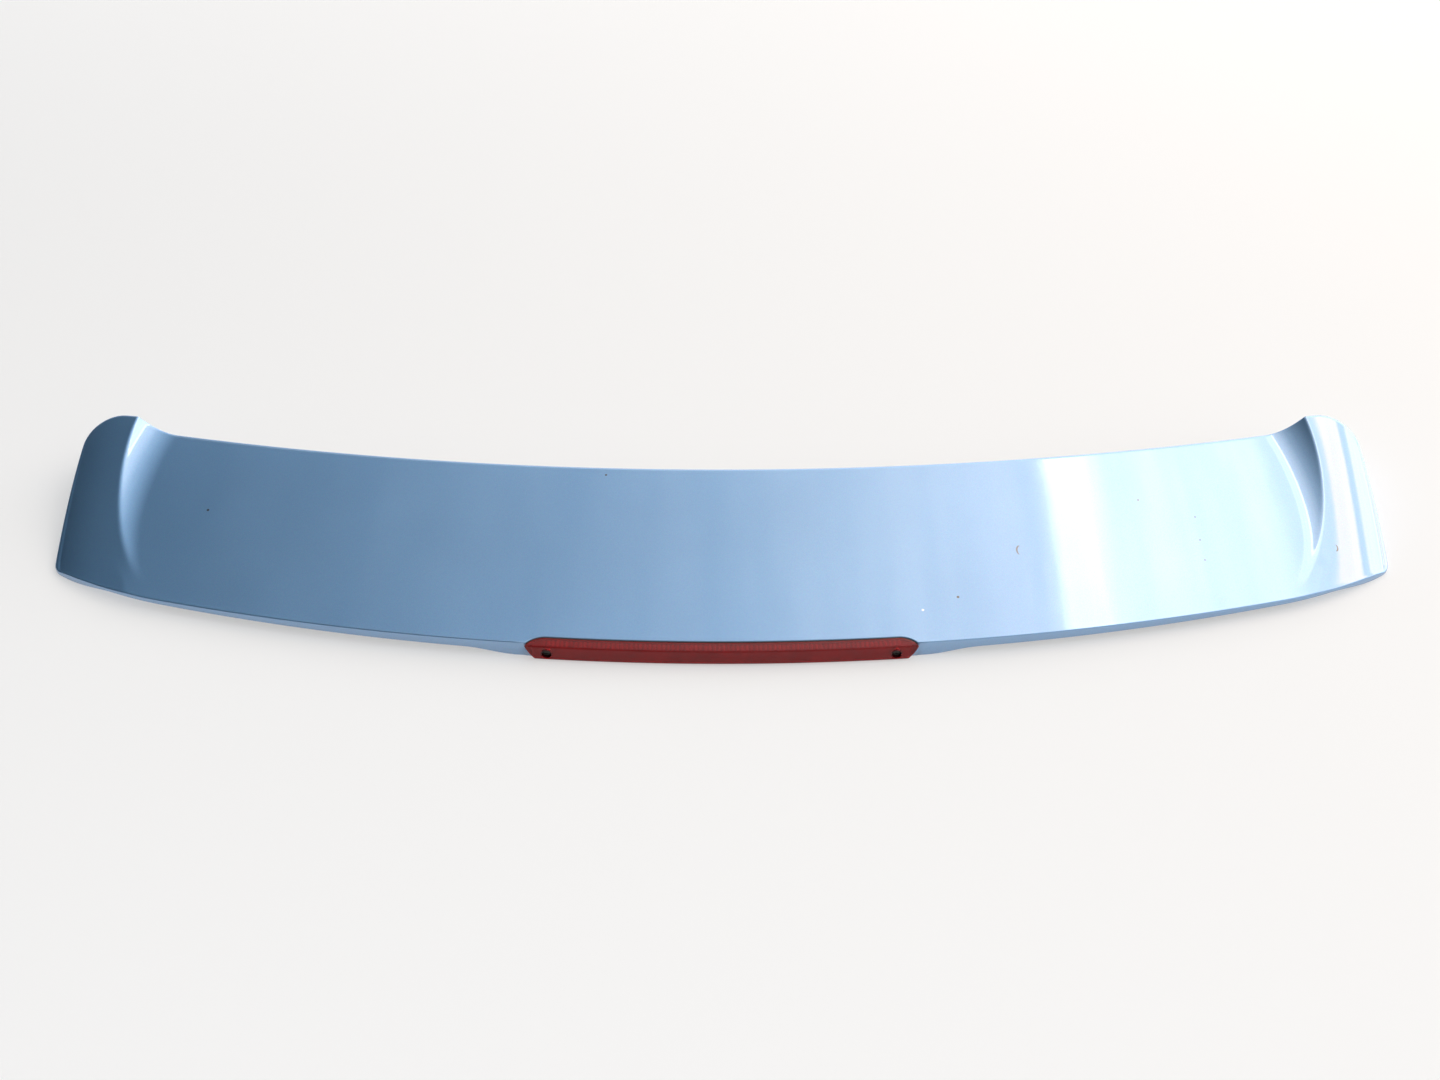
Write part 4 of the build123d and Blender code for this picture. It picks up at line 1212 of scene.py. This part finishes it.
# finishes on the CAD pieces that keep their form, by the start of their names
finish = {
    "inner_panel": panelBlack,
    "lamp_gasket": rubberBlack,
    "lamp_housing": housingGrey,
    "lamp_board": boardGreen,
    "lamp_reflector": reflectorSilver,
    "lamp_nut": screwSteel,
    "led_": opticRed,
    "front_edge_seal": rubberBlack,
    "cable_grommet": rubberBlack,
    "ear_bracket": panelBlack,
    "ear_clip": clipNylon,
    "foam_pad": foamBlack,
    "stud_washer": foamBlack,
}
for name, obj in nodes.items():
    for start, mat in finish.items():
        if name.startswith(start):
            obj.data.materials.clear()
            obj.data.materials.append(mat)
print("finishes on CAD pieces")

# studio: pale floor, a soft room that is dim on the left, and a light card overhead on the far side
studio = {
    "floor": 0.84,
    "floorRough": 0.9,
    "glow": 0.47,
    "reach": 40.0,
    "sunk": 0.0002,
    # radiance against the sideways part of the direction, from full left, -1, to full right, 1
    "walls": [(-0.75, 0.015), (-0.55, 0.08), (-0.32, 0.40), (0.0, 1.6), (0.45, 2.6), (0.75, 3.6)],
    "behind": 0.30,          # how bright the walls behind the camera are
    "turn": 0.25,            # how softly they change to the walls ahead
    "backlight": 1.4,        # low light from the far side
    "backlightFrom": (0.72, 0.84),
}
# the card: height and corners in metres, and its radiance from left to right
card = {
    "height": 1.65,
    "left": -3.0,
    "right": 3.4,
    "near": 0.45,
    "far": 1.45,
    "strength": 8.0,
    "streak": 0.10,          # how far fine streaks along the card dim or lift it
    "streakNoise": (9.0, 4.0, 0.65),
    "streakFrom": (0.35, 0.65),
    "stretch": (1.0, 0.06, 0.0),
    "greenShare": 0.55,      # how much of the warmth is taken out of the green
    # place, radiance and warmth
    "bands": [
        (-2.00, 0.02, 0.0), (-1.50, 0.04, -0.2), (-1.17, 0.11, -0.25), (-0.875, 0.23, -0.2),
        (-0.667, 0.34, -0.18), (-0.459, 0.49, -0.14), (-0.25, 0.63, -0.1), (0.0, 0.92, 0.0),
        (0.267, 1.57, 0.13), (0.473, 1.90, 0.28), (0.67, 2.1, 0.36), (0.70, 5.0, 0.07),
        (0.765, 5.0, 0.07), (0.81, 3.4, 0.16), (0.975, 3.45, 0.16), (0.99, 3.1, 0.06),
        (1.005, 3.45, 0.16), (1.17, 3.5, 0.16), (1.23, 2.3, 0.20), (1.57, 2.2, 0.20),
        (1.60, 4.6, 0.62), (1.86, 4.4, 0.62), (1.95, 1.6, 0.30), (2.12, 1.6, 0.30),
        (2.20, 3.8, 0.50), (3.30, 3.0, 0.35),
    ],
}


def makeFloor(kit):
    mat, tree, shader = newMaterial("paleFloor")
    setInputs(tree, shader, {
        "Base Color": (kit["floor"], kit["floor"], kit["floor"], 1),
        "Roughness": kit["floorRough"],
        "Specular IOR Level": 0.0,
    })
    path = addNode(tree, "ShaderNodeLightPath")
    seen = mathNode(tree, "MAXIMUM", path.outputs["Is Camera Ray"], path.outputs["Is Glossy Ray"])
    seen = mathNode(tree, "MAXIMUM", seen, path.outputs["Is Transmission Ray"])
    glow = addNode(tree, "ShaderNodeEmission")
    mix = addNode(tree, "ShaderNodeMixShader", {
        "Fac": mathNode(tree, "MULTIPLY", seen, kit["glow"]),
        1: shader.outputs["BSDF"],
        2: glow.outputs["Emission"],
    })
    wire(tree, mix.outputs["Shader"], tree.nodes["Material Output"].inputs["Surface"])
    mesh = bpy.data.meshes.new("paleFloor")
    far = kit["reach"]
    mesh.from_pydata([(-far, -far, 0), (far, -far, 0), (far, far, 0), (-far, far, 0)], [], [(0, 1, 2, 3)])
    mesh.materials.append(mat)
    floor = link(bpy.data.objects.new("paleFloor", mesh))
    floor.location.z = -kit["sunk"]


def makeRoom(kit):
    world = bpy.data.worlds.new("softRoom")
    scene.world = world
    world.use_nodes = True
    tree = world.node_tree
    coords = addNode(tree, "ShaderNodeTexCoord").outputs["Generated"]
    split = addNode(tree, "ShaderNodeSeparateXYZ", {"Vector": coords})
    side = mapNode(tree, split.outputs["X"], -1.0, 1.0)
    brightest = max(level for place, level in kit["walls"])
    grey = [((place + 1) / 2, (level / brightest,) * 3) for place, level in kit["walls"]]
    facing = softStep(tree, split.outputs["Y"], -kit["turn"], kit["turn"], kit["behind"], 1.0)
    walls = mathNode(tree, "MULTIPLY", rampNode(tree, side, grey), facing)
    low = softStep(tree, split.outputs["Y"], *kit["backlightFrom"], 0.0, kit["backlight"] / brightest)
    light = mathNode(tree, "MAXIMUM", walls, low)
    setInputs(tree, tree.nodes["Background"], {"Color": light, "Strength": brightest})


def makeCard(kit):
    mat, tree, shader = newMaterial("lightCard")
    tree.nodes.remove(shader)
    left, right, near, far, height = (kit[key] for key in ("left", "right", "near", "far", "height"))
    coords = objectCoords(tree)
    split = addNode(tree, "ShaderNodeSeparateXYZ", {"Vector": coords})
    across = mapNode(tree, split.outputs["X"], left, right)
    stops = []
    for x, level, warm in kit["bands"]:
        share = level / kit["strength"]
        tint = (share, share * (1 - warm * kit["greenShare"]), share * (1 - warm))
        stops.append(((x - left) / (right - left), tint))
    stretched = vectorNode(tree, "MULTIPLY", coords, kit["stretch"])
    grain = noiseNode(tree, stretched.outputs["Vector"], *kit["streakNoise"])
    streaks = softStep(tree, grain, *kit["streakFrom"], 1.0 - kit["streak"], 1.0 + kit["streak"])
    glow = addNode(tree, "ShaderNodeEmission", {
        "Color": rampNode(tree, across, stops),
        "Strength": mathNode(tree, "MULTIPLY", streaks, kit["strength"]),
    })
    wire(tree, glow.outputs["Emission"], tree.nodes["Material Output"].inputs["Surface"])
    mesh = bpy.data.meshes.new("lightCard")
    corners = [(left, near, height), (left, far, height), (right, far, height), (right, near, height)]
    mesh.from_pydata(corners, [], [(0, 1, 2, 3)])
    mesh.materials.append(mat)
    link(bpy.data.objects.new("lightCard", mesh))


makeFloor(studio)
makeRoom(studio)
makeCard(card)
print("studio ready")
